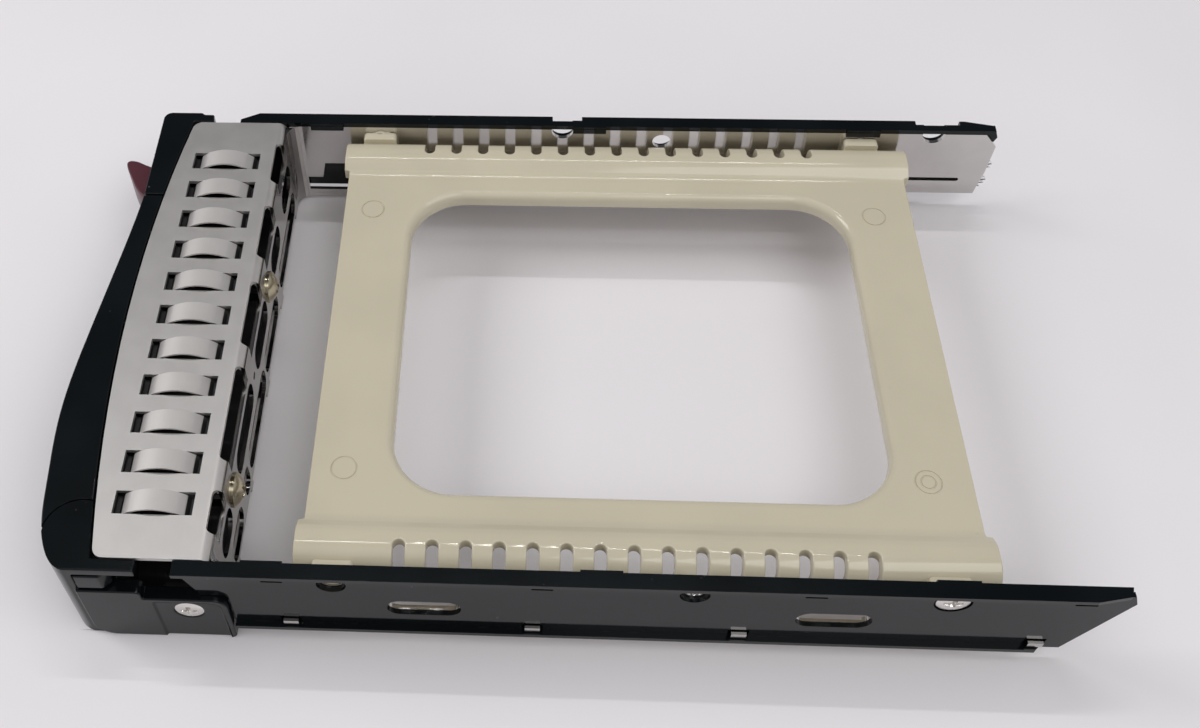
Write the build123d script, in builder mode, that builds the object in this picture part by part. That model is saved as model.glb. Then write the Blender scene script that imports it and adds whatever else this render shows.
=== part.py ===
from build123d import *
import os
from math import sqrt

os.makedirs("parts", exist_ok=True)

# Sizes in millimetres. X runs from the front handle to the rear, Y across the tray, Z up.
# The tray lies on its bezel, so Z is 0 on the table. The drive hole pattern sets all places along X.

# Side holes of a 3.5 inch drive
rear_hole_x = 63.2
hole_pitch_long = 101.6
hole_pitch_short = 41.6
hole_z = 19.9
side_hole_r = 1.9
drive_half_width = 50.8
drive_clearance = 0.1

# Folded steel frame
sheet = 0.8
bend_r = 1.2
corner_bend_r = 3.0
tray_top_z = 24.05
shield_rear_x = -58.3
shield_depth = 24.0
front_arc_r = 307.0
front_corner_r = 2.0
arm_rear_x = 92.0
arm_bottom_z = 4.9
arm_foot_z = 0.9

# Raised contact fingers of the top plate
finger_pitch = 8.0
finger_plain_end = 6.5
finger_middle_y = -0.5
finger_inset = 11.3
finger_window_length = 13.8
finger_window_width = 4.4
finger_side_gap = 0.2
finger_sheet = 0.35
finger_sink = 0.15
finger_rise = 1.35
finger_dip = 1.5
finger_foot = 0.9
finger_bend_run = 0.6
finger_bend_rise = 0.9

# Slots of the rear wall, each by its middle and length along Y, and the small dimple beside them
top_slots = ((39.6, 10.9), (20.9, 13.4), (0.5, 14.9), (-21.7, 19.7), (-41.6, 8.1))
upper_slots = ((40.0, 11.4), (23.1, 11.1), (1.8, 14.7), (-19.6, 18.3), (-41.0, 8.7))
lower_slots = ((33.3, 24.4), (8.3, 17.6), (-12.0, 20.8), (-25.8, 4.3), (-36.8, 10.0))
foot_slots = ((32.8, 22.0), (9.3, 18.5), (-13.3, 19.5), (-32.2, 14.2))
upper_slot_z = 14.8
upper_slot_height = 6.2
lower_slot_z = 6.3
lower_slot_height = 6.0
top_slot_inset = 1.6
top_slot_drop = 4.7
foot_slot_height = 2.3
slot_corner_r = 1.0
dimple_y = -8.0
dimple_r = 0.8
dimple_depth = 0.3

# Shield screws in the rear wall
shield_screw_y = (13.5, -32.6)
shield_screw_z = 15.0
shield_screw_r = 1.5
dome_r = 3.2
dome_height = 1.9

# Black plastic rails
rail_wall = 0.9
rail_fit = 0.05
flange_reach = 1.1
flange = 1.0
flange_end_length = 3.9
flange_taper = 7.0
rail_bottom_z = 4.1
rail_front_x = -64.5
rail_front_lean = 3.5
rail_rear_x = 91.8
rail_rear_lean = 7.0
rail_foot_rear_x = 81.5
web_slot_length = 12.7
web_slot_height = 5.0
web_slot_x = (-23.3, 45.5)
web_slot_z = 12.0
hook_x = (-46.6, -4.8, 30.4, 80.1)
hook_z = 6.2
top_hook_x = (-48.3, -3.4, 41.2, 84.2)
top_hook_z = 21.4
hook_length = 2.6
hook_height = 1.3
hook_room = 0.5
hook_proud = 0.7
notch_x = (0.5, 78.2)
notch_r = 2.3
notch_depth = 1.3
notch_length = 6.2
notch_sink = 0.3
clip_x = (-49.8, 6.2, 63.5)
clip_length = 7.0
clip_reach = 0.35
clip_drop = 0.8

# Front bezel
bezel_wall = 2.0
seam = 0.4
skin_gap = 0.3
grille_setback = 1.0
grille_wall = 1.6
face_x = -85.2
face_corner_r = 1.8
lug_rear_x = -56.8
near_wall_top_z = 17.0
near_lug_top_z = 14.6
far_lug_top_z = 20.5
near_wall_front_x = -82.0
near_wall_rear_x = -71.0
near_wall_corner_r = 4.0
ledge_front_x = -77.0
ledge_pocket_depth = 5.0
pocket_wall = 0.85
lug_top_corner_r = 2.5
lug_low_corner_r = 1.2
far_wall_rear_x = -77.0
lip_rear_x = -70.8
lip_reach = 2.1
lug_screw_x = -63.8
near_screw_z = 10.0
far_screw_z = 16.6
lug_panel_front_x = -69.4
vent_count = 8
vent_pitch = 7.4
vent_first_y = -32.4
vent_width = 4.8
vent_height = 13.0
vent_z = 12.0

# Handle lever and its hinge. Its bulged front is given as shares of its length and bulges past the face.
front_bulges = ((0.19, 1.4), (0.45, 3.9), (0.65, 4.9), (0.81, 3.9), (0.95, 1.5))
front_end_back = 2.4
pivot_x = -81.5
pivot_inset_y = 4.3
pin_r = 1.0
pin_clearance = 0.05
knuckle_r = 3.2
cap_r = 6.2
lever_bottom_z = 1.0
lever_wall = 2.0
lever_rib = 1.2
cam_bottom_z = 17.6
spring_room = 6.0
spring_wire_r = 0.3

# Release button
button_travel = 2.5
button_bottom_z = 7.0
button_top_z = 17.0
button_spring_room = 6.1
slider_length = 12.0
slider_thickness = 2.6
slider_to_lever = 3.3
fin_tip_x = -93.4
fin_tip_y = 45.0
slide_fit = 0.1
latch_gap = 0.3
button_spring_r = 1.0

# Cream blank
panel_top_z = 19.9
panel_wall = 2.4
crown_rise = 1.9
crown_width = 9.4
crown_slope = 2.8
crown_outer_r = 4.2
crown_step_r = 3.5
blank_side_gap = 1.2
blank_front_x = -45.3
blank_rear_x = 71.9
panel_inset = 1.0
skirt_bottom_z = 13.5
window_front_x = -30.1
window_rear_x = 57.8
window_side = 5.6
window_corner_r = 11.0
window_lip = 1.8
window_lip_drop = 0.8
window_round = 1.5
slot_count = 15
slot_pitch = 5.63
slot_first_x = -27.5
slot_width = 2.1
slot_reach = 4.8
slot_bottom_z = 14.8
pad_half_length = 3.5
pad_bottom_z = 15.5
pad_top_z = 21.6
pad_gap = 0.05
pad_root = 0.8
mark_y = 30.4
mark_r = 2.4
inner_mark_r = 1.4
mark_line = 0.3
mark_depth = 0.15

# Light pipes in the far rail
pipe_depth = 0.7
pipe_height = 2.6
pipe_gap = 0.03
pipe_rear_x = 93.4
pipe_front_x = -83.4
upper_pipe_z = 11.5
lower_pipe_z = 6.6
pipe_clip_x = (-30.0, 20.0, 70.0)
pipe_clip_length = 3.0
pipe_clip_lip = 0.8

# Lug and side screws
screw_fit = 0.05
lug_screw_r = 1.45
lug_head_r = 2.55
blank_screw_r = 1.45
blank_head_r = 2.75
blank_screw_reach = 1.5
head_height = 1.1

# Faces worked out from the sizes above
arm_inner_y = drive_half_width + drive_clearance
arm_outer_y = arm_inner_y + sheet
arm_top_z = tray_top_z - flange - rail_fit
plate_half_width = drive_half_width
plate_bottom_z = tray_top_z - sheet
shield_front_x = shield_rear_x - shield_depth
wall_inner_x = shield_rear_x - sheet
flat_wall_half_width = arm_inner_y - corner_bend_r
arc_centre_x = shield_front_x + front_arc_r
finger_x = shield_rear_x - finger_inset
finger_count = int(2 * (plate_half_width - finger_plain_end) / finger_pitch)
finger_width = finger_window_width - 2 * finger_side_gap
web_inner_y = arm_outer_y + rail_fit
web_outer_y = web_inner_y + rail_wall
rail_half_width = web_outer_y + flange_reach
flange_inner_y = arm_inner_y + rail_fit
front_hole_x = rear_hole_x - hole_pitch_long
middle_hole_x = rear_hole_x - hole_pitch_short
lug_inner_y = plate_half_width + skin_gap
lip_y = lug_inner_y + lip_reach
pivot_y = pivot_inset_y - drive_half_width
slider_rear_y = lug_inner_y - button_spring_room
slider_front_y = slider_rear_y - slider_length
lever_end_y = slider_front_y - slider_to_lever
skin_bottom_z = tray_top_z - bezel_wall
pipe_inner_y = web_outer_y + pipe_gap
blank_half_width = drive_half_width - blank_side_gap
crown_foot_y = blank_half_width - crown_width
window_half_width = crown_foot_y - window_side
through = 200.0


def side_plane(y):
    """Plane at the given y: local x is X, local y is Z, and extrusion runs towards -Y."""
    return Plane.XZ.offset(-y)


def cross_plane(x):
    """Plane at the given x: local x is Y, local y is Z, and extrusion runs towards +X."""
    return Plane.YZ.offset(x)


def arc_x(y, forward=0.0):
    """X of the curved front edge of the shield at y, moved forward by the given amount."""
    return arc_centre_x - sqrt((front_arc_r + forward) ** 2 - y ** 2)


def low_hooks(far):
    """Side view places of the low hooks. The far arm's cut-out takes the place of the first."""
    return [(x, hook_z) for x in (hook_x[1:] if far else hook_x)]


def top_hooks():
    """Side view places of the hooks near the top edge of an arm."""
    return [(x, top_hook_z) for x in top_hook_x]


def flat_wall_slots(slots):
    """The slots that lie on the flat stretch of the rear wall."""
    return [(y, length) for y, length in slots if abs(y) + length / 2 < flat_wall_half_width]


def finish(piece, name):
    """Label a piece and write its STEP file."""
    piece.part.label = name
    export_step(piece.part, f"parts/{name}.step")


# Folded frame: top plate, slotted wall, bottom plate, side tabs and the two arms
tab_length = 9.0
tab_above_screw = 3.4
arm_slot_height = 4.4
narrow_slot_z = 9.3
narrow_slot_height = 1.0
narrow_slot_front_x = 10.0
narrow_slot_rear_x = 86.6
boss_hole_r = 2.1
near_arm_lean = 8.2
cut_out_x = -55.6
cut_out_length = 11.1
cut_out_step = 4.2
cut_out_low_z = 3.2
cut_out_high_z = 11.7
cut_out_step_z = 7.2

with BuildPart() as tray_frame:
    with BuildSketch(side_plane(plate_half_width)):
        with BuildLine():
            FilletPolyline(
                (shield_front_x - sheet, tray_top_z), (shield_rear_x, tray_top_z),
                (shield_rear_x, 0), (shield_front_x - sheet, 0), radius=bend_r + sheet)
            offset(amount=sheet, side=Side.RIGHT)
        make_face()
    extrude(amount=2 * plate_half_width)
    # Curved front edge with rounded corners
    with BuildSketch(Plane.XY):
        with Locations((arc_centre_x - front_arc_r, 0)):
            Rectangle(40, through)
        with Locations((arc_centre_x, 0)):
            Circle(front_arc_r, mode=Mode.SUBTRACT)
    extrude(amount=tray_top_z, mode=Mode.SUBTRACT)
    fillet(tray_frame.edges().filter_by(Axis.Z).group_by(Axis.X)[0], radius=front_corner_r)
    # Room for the rounded folds to the arms
    with BuildSketch(cross_plane(wall_inner_x - sheet)):
        with Locations((plate_half_width, tray_top_z / 2), (-plate_half_width, tray_top_z / 2)):
            Rectangle(2 * corner_bend_r, tray_top_z - 2 * bend_r - 2 * sheet)
    extrude(amount=3 * sheet, mode=Mode.SUBTRACT)
    # Arms, folded from the ends of the rear wall
    with BuildSketch(Plane.XY.offset(arm_foot_z)):
        with BuildLine():
            FilletPolyline(
                (arm_rear_x, arm_outer_y), (wall_inner_x, arm_outer_y),
                (wall_inner_x, -arm_outer_y), (arm_rear_x, -arm_outer_y),
                radius=corner_bend_r + sheet)
            offset(amount=sheet, side=Side.LEFT)
        make_face()
    extrude(amount=arm_top_z - arm_foot_z)
    # Outline of the arms seen from the side
    with BuildSketch(side_plane(rail_half_width)):
        with BuildLine():
            Polyline(
                (shield_rear_x + 12, 0), (shield_rear_x + 15, arm_bottom_z),
                (arm_rear_x - 1.2, arm_bottom_z), (arm_rear_x - 0.4, 11.4), (arm_rear_x - 0.2, 19.5),
                (arm_rear_x - 3.0, arm_top_z), (arm_rear_x + 2, arm_top_z + 1),
                (arm_rear_x + 2, 0), (shield_rear_x + 12, 0))
        make_face()
        with Locations(((narrow_slot_front_x + narrow_slot_rear_x) / 2, narrow_slot_z)):
            SlotOverall(narrow_slot_rear_x - narrow_slot_front_x, narrow_slot_height)
        with Locations((front_hole_x, hole_z)):
            Circle(boss_hole_r)
        with Locations((middle_hole_x, hole_z), (rear_hole_x, hole_z)):
            Circle(side_hole_r)
        with Locations(*[(x, web_slot_z - 0.3) for x in web_slot_x]):
            SlotOverall(web_slot_length, arm_slot_height)
    extrude(amount=2 * rail_half_width, mode=Mode.SUBTRACT)
    # The near arm leans back at its end, behind the rail
    with BuildSketch(side_plane(-arm_inner_y + 0.1)):
        with BuildLine():
            Polyline(
                (arm_rear_x - near_arm_lean, 0), (arm_rear_x - 1.0, top_hook_z),
                (arm_rear_x - 2.0, tray_top_z), (arm_rear_x + 1, tray_top_z), (arm_rear_x + 1, 0),
                (arm_rear_x - near_arm_lean, 0))
        make_face()
    extrude(amount=2 * sheet, mode=Mode.SUBTRACT)
    # Notches in the top edge of the far arm, and its stepped cut-out near the front
    with BuildSketch(side_plane(arm_outer_y + 0.1)):
        with Locations(*[(x, arm_top_z - notch_sink) for x in notch_x]):
            Circle(notch_r)
        with BuildLine():
            Polyline(
                (cut_out_x, cut_out_low_z), (cut_out_x + cut_out_length, cut_out_low_z),
                (cut_out_x + cut_out_length, cut_out_high_z), (cut_out_x + cut_out_step, cut_out_high_z),
                (cut_out_x + cut_out_step - 0.9, cut_out_step_z), (cut_out_x, cut_out_step_z),
                (cut_out_x, cut_out_low_z))
        make_face()
    extrude(amount=2 * sheet, mode=Mode.SUBTRACT)
    # Hooks that the rails clip over. The low ones of the near arm stand out of the rail.
    hook_reach = web_outer_y - arm_outer_y
    with BuildSketch(side_plane(web_outer_y)):
        with Locations(*low_hooks(True), *top_hooks()):
            Rectangle(hook_length, hook_height)
    extrude(amount=hook_reach)
    with BuildSketch(side_plane(-arm_outer_y)):
        with Locations(*top_hooks()):
            Rectangle(hook_length, hook_height)
    extrude(amount=hook_reach)
    with BuildSketch(side_plane(-arm_outer_y)):
        with Locations(*low_hooks(False)):
            Rectangle(hook_length, hook_height)
    extrude(amount=hook_reach + hook_proud)
    # Side tabs behind the bezel lugs
    for side, screw_z in ((1, far_screw_z), (-1, near_screw_z)):
        with BuildSketch(side_plane(plate_half_width if side > 0 else sheet - plate_half_width)):
            with Locations((lug_screw_x, (screw_z + tab_above_screw) / 2)):
                RectangleRounded(tab_length, screw_z + tab_above_screw, 0.7)
            with Locations((lug_screw_x, screw_z)):
                Circle(lug_screw_r + screw_fit, mode=Mode.SUBTRACT)
        extrude(amount=sheet)
    # Windows for the fingers
    with BuildSketch(Plane.XY.offset(plate_bottom_z)):
        with Locations((finger_x, finger_middle_y)):
            with GridLocations(1, finger_pitch, 1, finger_count):
                Rectangle(finger_window_length, finger_window_width)
    extrude(amount=sheet, mode=Mode.SUBTRACT)
    # Slots cut through the top fold and down into the rear wall
    with BuildSketch(Plane.XY.offset(tray_top_z - top_slot_drop)):
        for slot_y, slot_length in flat_wall_slots(top_slots):
            with Locations((shield_rear_x, slot_y)):
                RectangleRounded(2 * top_slot_inset, slot_length, slot_corner_r)
    extrude(amount=top_slot_drop, mode=Mode.SUBTRACT)
    # Slots cut through the fold at the foot of the rear wall
    with BuildSketch(Plane.XY):
        for slot_y, slot_length in flat_wall_slots(foot_slots):
            with Locations((shield_rear_x, slot_y)):
                Rectangle(2 * (bend_r + sheet), slot_length)
    extrude(amount=foot_slot_height, mode=Mode.SUBTRACT)
    # Two rows of slots across the rear wall, with the screw holes
    with BuildSketch(cross_plane(wall_inner_x - sheet)):
        for slots, slot_z, slot_height in (
                (upper_slots, upper_slot_z, upper_slot_height),
                (lower_slots, lower_slot_z, lower_slot_height)):
            for slot_y, slot_length in flat_wall_slots(slots):
                with Locations((slot_y, slot_z)):
                    RectangleRounded(slot_length, slot_height, 0.45 * min(slot_length, slot_height))
        with Locations(*[(y, shield_screw_z) for y in shield_screw_y]):
            Circle(shield_screw_r + screw_fit)
    extrude(amount=3 * sheet, mode=Mode.SUBTRACT)
    with BuildSketch(cross_plane(shield_rear_x)):
        with Locations((dimple_y, shield_screw_z)):
            Circle(dimple_r)
    extrude(amount=-dimple_depth, mode=Mode.SUBTRACT)
    # Arched fingers, each a strip that dips under the plate at both ends and rises above it
    finger_half = finger_window_length / 2
    strip_z = tray_top_z - finger_sink
    foot_z = strip_z - finger_dip
    bend_x = finger_half - finger_foot - finger_bend_run
    finger_profile = [
        (finger_half + finger_side_gap, strip_z), (finger_half - 0.1, foot_z),
        (finger_half - finger_foot, foot_z), (bend_x, foot_z + finger_bend_rise)]
    for index in range(finger_count):
        finger_y = finger_middle_y + (index - (finger_count - 1) / 2) * finger_pitch
        with BuildSketch(side_plane(finger_y + finger_width / 2)):
            with BuildLine():
                Polyline(*[(finger_x - x, z) for x, z in finger_profile])
                ThreePointArc(
                    (finger_x - bend_x, foot_z + finger_bend_rise), (finger_x, tray_top_z + finger_rise),
                    (finger_x + bend_x, foot_z + finger_bend_rise))
                Polyline(*[(finger_x + x, z) for x, z in reversed(finger_profile)])
                offset(amount=finger_sheet, side=Side.RIGHT)
            make_face()
        extrude(amount=finger_width)

finish(tray_frame, "tray_frame")


# Rails: a web against the arm, a top flange over its edge, a bottom flange and small clips
rail_hole_r = 2.5
rail_screw_hole_r = 3.1


def make_rail(lug_top_z, far):
    """Rail on the far side. The near one is mirrored by the caller and has no light pipes."""
    lug_end_x = lug_rear_x + skin_gap
    flange_front_x = rail_front_x - (flange_end_length if far else 0)
    with BuildPart() as rail:
        with BuildSketch(side_plane(web_outer_y)):
            with BuildLine():
                Polyline(
                    (rail_front_x, tray_top_z), (rail_front_x + rail_front_lean, lug_top_z + skin_gap),
                    (lug_end_x, lug_top_z + skin_gap), (lug_end_x, rail_bottom_z),
                    (rail_rear_x - rail_rear_lean, rail_bottom_z), (rail_rear_x, top_hook_z),
                    (rail_rear_x - flange, tray_top_z), (rail_front_x, tray_top_z))
            make_face()
            with Locations((front_hole_x, hole_z), (middle_hole_x, hole_z)):
                Circle(rail_hole_r, mode=Mode.SUBTRACT)
            with Locations((rear_hole_x, hole_z)):
                Circle(rail_screw_hole_r, mode=Mode.SUBTRACT)
            with Locations(*[(x, web_slot_z) for x in web_slot_x]):
                SlotOverall(web_slot_length, web_slot_height, mode=Mode.SUBTRACT)
            with Locations(*low_hooks(far), *top_hooks()):
                Rectangle(hook_length + 2 * hook_room, hook_height + 2 * hook_room, mode=Mode.SUBTRACT)
            if far:
                with Locations(*[(x, arm_top_z - notch_sink) for x in notch_x]):
                    Circle(notch_r + 0.2, mode=Mode.SUBTRACT)
        extrude(amount=rail_wall)
        # Top flange, tapered at both ends
        with BuildSketch(Plane.XY.offset(tray_top_z - flange)):
            with BuildLine():
                Polyline(
                    (flange_front_x, flange_inner_y), (flange_front_x, flange_inner_y + rail_wall),
                    (rail_front_x, rail_half_width), (rail_rear_x - flange_taper, rail_half_width),
                    (rail_rear_x - 1.5 * flange, web_outer_y), (rail_rear_x - flange, flange_inner_y),
                    (flange_front_x, flange_inner_y))
            make_face()
            if far:
                with Locations((notch_x[0] + 1.0, rail_half_width), (notch_x[1] - 0.6, rail_half_width)):
                    Rectangle(notch_length, 2 * notch_depth, mode=Mode.SUBTRACT)
                with Locations((notch_x[1] + notch_r, rail_half_width)):
                    Rectangle(notch_length, 2 * notch_depth, mode=Mode.SUBTRACT)
            with Locations(*[(x, flange_inner_y) for x in clip_x]):
                Rectangle(clip_length, 2 * clip_reach)
        extrude(amount=flange)
        # Clip lips that reach down inside the arm
        with BuildSketch(Plane.XY.offset(tray_top_z - flange - clip_drop)):
            with Locations(*[(x, arm_inner_y - rail_fit - clip_reach / 2) for x in clip_x]):
                Rectangle(clip_length, clip_reach - rail_fit)
        extrude(amount=clip_drop + flange / 2)
        # Bottom flange
        with BuildSketch(Plane.XY.offset(rail_bottom_z)):
            with BuildLine():
                Polyline(
                    (lug_end_x, web_inner_y), (lug_end_x, rail_half_width),
                    (rail_foot_rear_x - flange_reach, rail_half_width),
                    (rail_foot_rear_x, web_outer_y + rail_fit), (rail_foot_rear_x + flange, web_inner_y),
                    (lug_end_x, web_inner_y))
            make_face()
        extrude(amount=flange)
        if far:
            # Clips that hold the two light pipes
            clip_low_z = lower_pipe_z + pipe_height / 2 + slide_fit
            clip_high_z = upper_pipe_z - pipe_height / 2 - slide_fit
            clip_face_y = pipe_inner_y + pipe_depth + rail_fit
            for x in pipe_clip_x:
                with BuildSketch(cross_plane(x)):
                    with BuildLine():
                        Polyline(
                            (web_outer_y - rail_fit, clip_low_z), (web_outer_y - rail_fit, clip_high_z),
                            (clip_face_y, clip_high_z), (clip_face_y, clip_high_z + pipe_clip_lip),
                            (rail_half_width, clip_high_z + 0.8 * pipe_clip_lip),
                            (rail_half_width, clip_low_z - 0.8 * pipe_clip_lip),
                            (clip_face_y, clip_low_z - pipe_clip_lip), (clip_face_y, clip_low_z),
                            (web_outer_y - rail_fit, clip_low_z))
                    make_face()
                extrude(amount=pipe_clip_length)
    return rail


left_rail = make_rail(far_lug_top_z, True)
finish(left_rail, "left_rail")

near_shape = make_rail(near_lug_top_z, False)
with BuildPart() as right_rail:
    add(mirror(near_shape.part, about=Plane.XZ))
finish(right_rail, "right_rail")


# Outline of the front, seen from above, shared by the bezel and the handle
housing_y = lever_end_y + seam
front_end_x = face_x + front_end_back


def front_curve():
    """Bulged front line of the handle from the button housing to the hinge corner."""
    length = housing_y + lip_y
    bulged = [(face_x - bulge, housing_y - share * length) for share, bulge in front_bulges]
    return Spline((face_x, housing_y), *bulged, (front_end_x, -lip_y), tangents=((-0.05, -1), (1, -0.2)))


def front_region(forward):
    """Face between the bulged front line and the shield's front edge moved forward."""
    with BuildSketch(mode=Mode.PRIVATE) as region:
        with BuildLine():
            front_curve()
            Polyline(
                (front_end_x, -lip_y), (lip_rear_x, -lip_y), (lip_rear_x, -lug_inner_y),
                (wall_inner_x, -lug_inner_y), (wall_inner_x, housing_y), (face_x, housing_y))
        make_face()
        with Locations((arc_centre_x, 0)):
            Circle(front_arc_r + forward, mode=Mode.SUBTRACT)
        with Locations(((lip_rear_x + pivot_x) / 2, -(lip_y + lug_inner_y) / 2)):
            Rectangle(lip_rear_x - pivot_x, lip_y - lug_inner_y)
    return region.sketch


def pivot_disc(radius):
    """Disc round the hinge pin, seen from above."""
    with BuildSketch(mode=Mode.PRIVATE) as disc:
        with Locations((pivot_x, pivot_y)):
            Circle(radius)
    return disc.sketch


def band(y_low, y_high, x_low=face_x - 10.0, x_high=wall_inner_x):
    """Plain rectangle seen from above, used to cut regions apart."""
    with BuildSketch(mode=Mode.PRIVATE) as box:
        with Locations(((x_low + x_high) / 2, (y_low + y_high) / 2)):
            Rectangle(x_high - x_low, y_high - y_low)
    return box.sketch


# Front bezel: vent wall, side walls with lugs, hinge ears and button housing
partition = 1.2
slot_low_y = slider_front_y + 1.0
slot_high_y = slider_rear_y + button_travel + 0.6
nose_bottom_z = 9.0
nose_top_z = 15.0
pillar_y = pivot_y - 3.5
boss_r = 3.0
cam_room_y = -pivot_y - 8.5
head_sink = 0.2
panel_sink = 0.35
rim = 1.1
neck_step = 1.0
nose_x = -81.2
nose_depth = 2.4

cap_region = front_region(seam) & (pivot_disc(cap_r) + band(-rail_half_width, pivot_y))
pillar_region = cap_region & band(-rail_half_width, pillar_y, face_x - 10.0, near_wall_front_x + 0.4)

with BuildPart() as front_bezel:
    # Vent wall that follows the shield's curved edge
    with BuildSketch(Plane.XY.offset(sheet + skin_gap)):
        with Locations((arc_centre_x, 0)):
            Circle(front_arc_r - grille_setback)
            Circle(front_arc_r - grille_setback - grille_wall, mode=Mode.SUBTRACT)
        with Locations((shield_front_x, 0)):
            Rectangle(30, 2 * (lug_inner_y + 0.5), mode=Mode.INTERSECT)
    extrude(amount=plate_bottom_z - sheet - 2 * skin_gap)
    # Vents through it, and room above its near end for the cam of the lever
    with BuildSketch(cross_plane(face_x)):
        for index in range(vent_count):
            with Locations((vent_first_y + index * vent_pitch, vent_z)):
                SlotOverall(vent_height + 2.0, vent_width, rotation=90)
        with Locations((-lug_inner_y, tray_top_z)):
            Rectangle(2 * (lug_inner_y - cam_room_y), 2 * (tray_top_z - near_wall_top_z))
    extrude(amount=shield_depth - 4.0, mode=Mode.SUBTRACT)
    # Near side wall, high at the front, with the low lug at its rear
    with BuildSketch(side_plane(-lug_inner_y)):
        with BuildLine():
            FilletPolyline(
                (near_wall_front_x, 0), (near_wall_front_x, near_wall_top_z),
                (near_wall_rear_x, near_wall_top_z), (near_wall_rear_x, near_lug_top_z),
                (lug_rear_x, near_lug_top_z), (lug_rear_x, 0),
                radius=[near_wall_corner_r, 0, 1.0, 0, lug_top_corner_r, lug_low_corner_r], close=True)
        make_face()
    extrude(amount=rail_half_width - lug_inner_y)
    # Pocket in the top of that wall, in front of the ledge
    with BuildSketch(Plane.XY.offset(near_wall_top_z - ledge_pocket_depth)):
        with Locations((
                (near_wall_front_x + pocket_wall + ledge_front_x) / 2,
                -(rail_half_width - pocket_wall + lug_inner_y) / 2)):
            Rectangle(
                ledge_front_x - near_wall_front_x - pocket_wall,
                rail_half_width - pocket_wall - lug_inner_y)
    extrude(amount=ledge_pocket_depth, mode=Mode.SUBTRACT)
    # Far side wall with the lug
    with BuildSketch(Plane.XY):
        with Locations(((face_x + lug_rear_x) / 2, (rail_half_width + lug_inner_y) / 2)):
            Rectangle(lug_rear_x - face_x, rail_half_width - lug_inner_y)
    extrude(amount=far_lug_top_z)
    with BuildSketch(Plane.XY):
        with BuildLine():
            Polyline(
                (face_x, lug_inner_y), (face_x, rail_half_width), (far_wall_rear_x, rail_half_width),
                (far_wall_rear_x + 0.5, lip_y), (far_wall_rear_x + 2.6, lip_y),
                (far_wall_rear_x + 2.9, lug_inner_y), (face_x, lug_inner_y))
        make_face()
    extrude(amount=tray_top_z)
    # Button housing: front wall, partition and skins above and below
    with BuildSketch(Plane.XY):
        with Locations((face_x + bezel_wall / 2, (housing_y + rail_half_width) / 2)):
            Rectangle(bezel_wall, rail_half_width - housing_y)
        with Locations((face_x + 3.0, housing_y + partition / 2)):
            Rectangle(6.0, partition)
        with Locations((arc_centre_x, 0)):
            Circle(front_arc_r + seam, mode=Mode.SUBTRACT)
    extrude(amount=tray_top_z)
    for low in (0.0, skin_bottom_z):
        with BuildSketch(Plane.XY.offset(low)):
            with Locations((face_x + 5.0, (housing_y + rail_half_width) / 2)):
                Rectangle(10.0, rail_half_width - housing_y)
            with Locations((arc_centre_x, 0)):
                Circle(front_arc_r + seam, mode=Mode.SUBTRACT)
        extrude(amount=bezel_wall)
    # Rounded far corner
    corner = front_bezel.edges().filter_by(Axis.Z).sort_by(lambda e: e.center().Y - e.center().X)[-1]
    fillet(corner, radius=face_corner_r)
    # Hinge ears and the corner pillar between them
    for low in (0.0, skin_bottom_z):
        with BuildSketch(Plane.XY.offset(low)):
            add(cap_region)
        extrude(amount=bezel_wall)
    with BuildSketch(Plane.XY):
        add(pillar_region)
    extrude(amount=tray_top_z)
    with BuildSketch(Plane.XY):
        with Locations((pivot_x, pivot_y)):
            Circle(pin_r + 0.02)
    extrude(amount=tray_top_z - 0.6, mode=Mode.SUBTRACT)
    # Bosses for the two shield screws
    boss_front_x = arc_x(0, -grille_setback) + grille_wall / 2
    with BuildSketch(cross_plane(boss_front_x)):
        with Locations(*[(y, shield_screw_z) for y in shield_screw_y]):
            Circle(boss_r)
    extrude(amount=shield_rear_x - sheet - skin_gap / 6 - boss_front_x)
    with BuildSketch(cross_plane(shield_rear_x - sheet)):
        with Locations(*[(y, shield_screw_z) for y in shield_screw_y]):
            Circle(shield_screw_r + screw_fit)
    extrude(amount=-12.0, mode=Mode.SUBTRACT)
    # Room inside the lugs for the folds of the arms
    with BuildSketch(Plane.XY):
        with Locations((lug_rear_x, 0)):
            Rectangle(2 * (lug_rear_x - shield_rear_x + sheet + skin_gap), 2 * (arm_outer_y + 0.1))
        with Locations((shield_rear_x - sheet - skin_gap - 10, 0)):
            Rectangle(20, 2 * arm_outer_y + 4, mode=Mode.SUBTRACT)
    extrude(amount=tray_top_z, mode=Mode.SUBTRACT)
    # Grooves for the light pipes, open to the outside
    with BuildSketch(cross_plane(face_x)):
        for pipe_z in (lower_pipe_z, upper_pipe_z):
            with Locations(((pipe_inner_y + rail_half_width) / 2 + 0.5, pipe_z)):
                Rectangle(rail_half_width - pipe_inner_y + 1.2, pipe_height + 2 * slide_fit)
    extrude(amount=lug_rear_x - face_x + 1, mode=Mode.SUBTRACT)
    # Screw holes of both lugs, with a seat for the head
    for side, screw_z in ((1, far_screw_z), (-1, near_screw_z)):
        with BuildSketch(side_plane(side * rail_half_width)):
            with Locations((lug_screw_x, screw_z)):
                Circle(lug_screw_r + screw_fit)
        extrude(amount=side * (rail_half_width - lug_inner_y), mode=Mode.SUBTRACT)
        with BuildSketch(side_plane(side * rail_half_width)):
            with Locations((lug_screw_x, screw_z)):
                Circle(lug_head_r + screw_fit)
        extrude(amount=side * (head_height + head_sink), mode=Mode.SUBTRACT)
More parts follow.
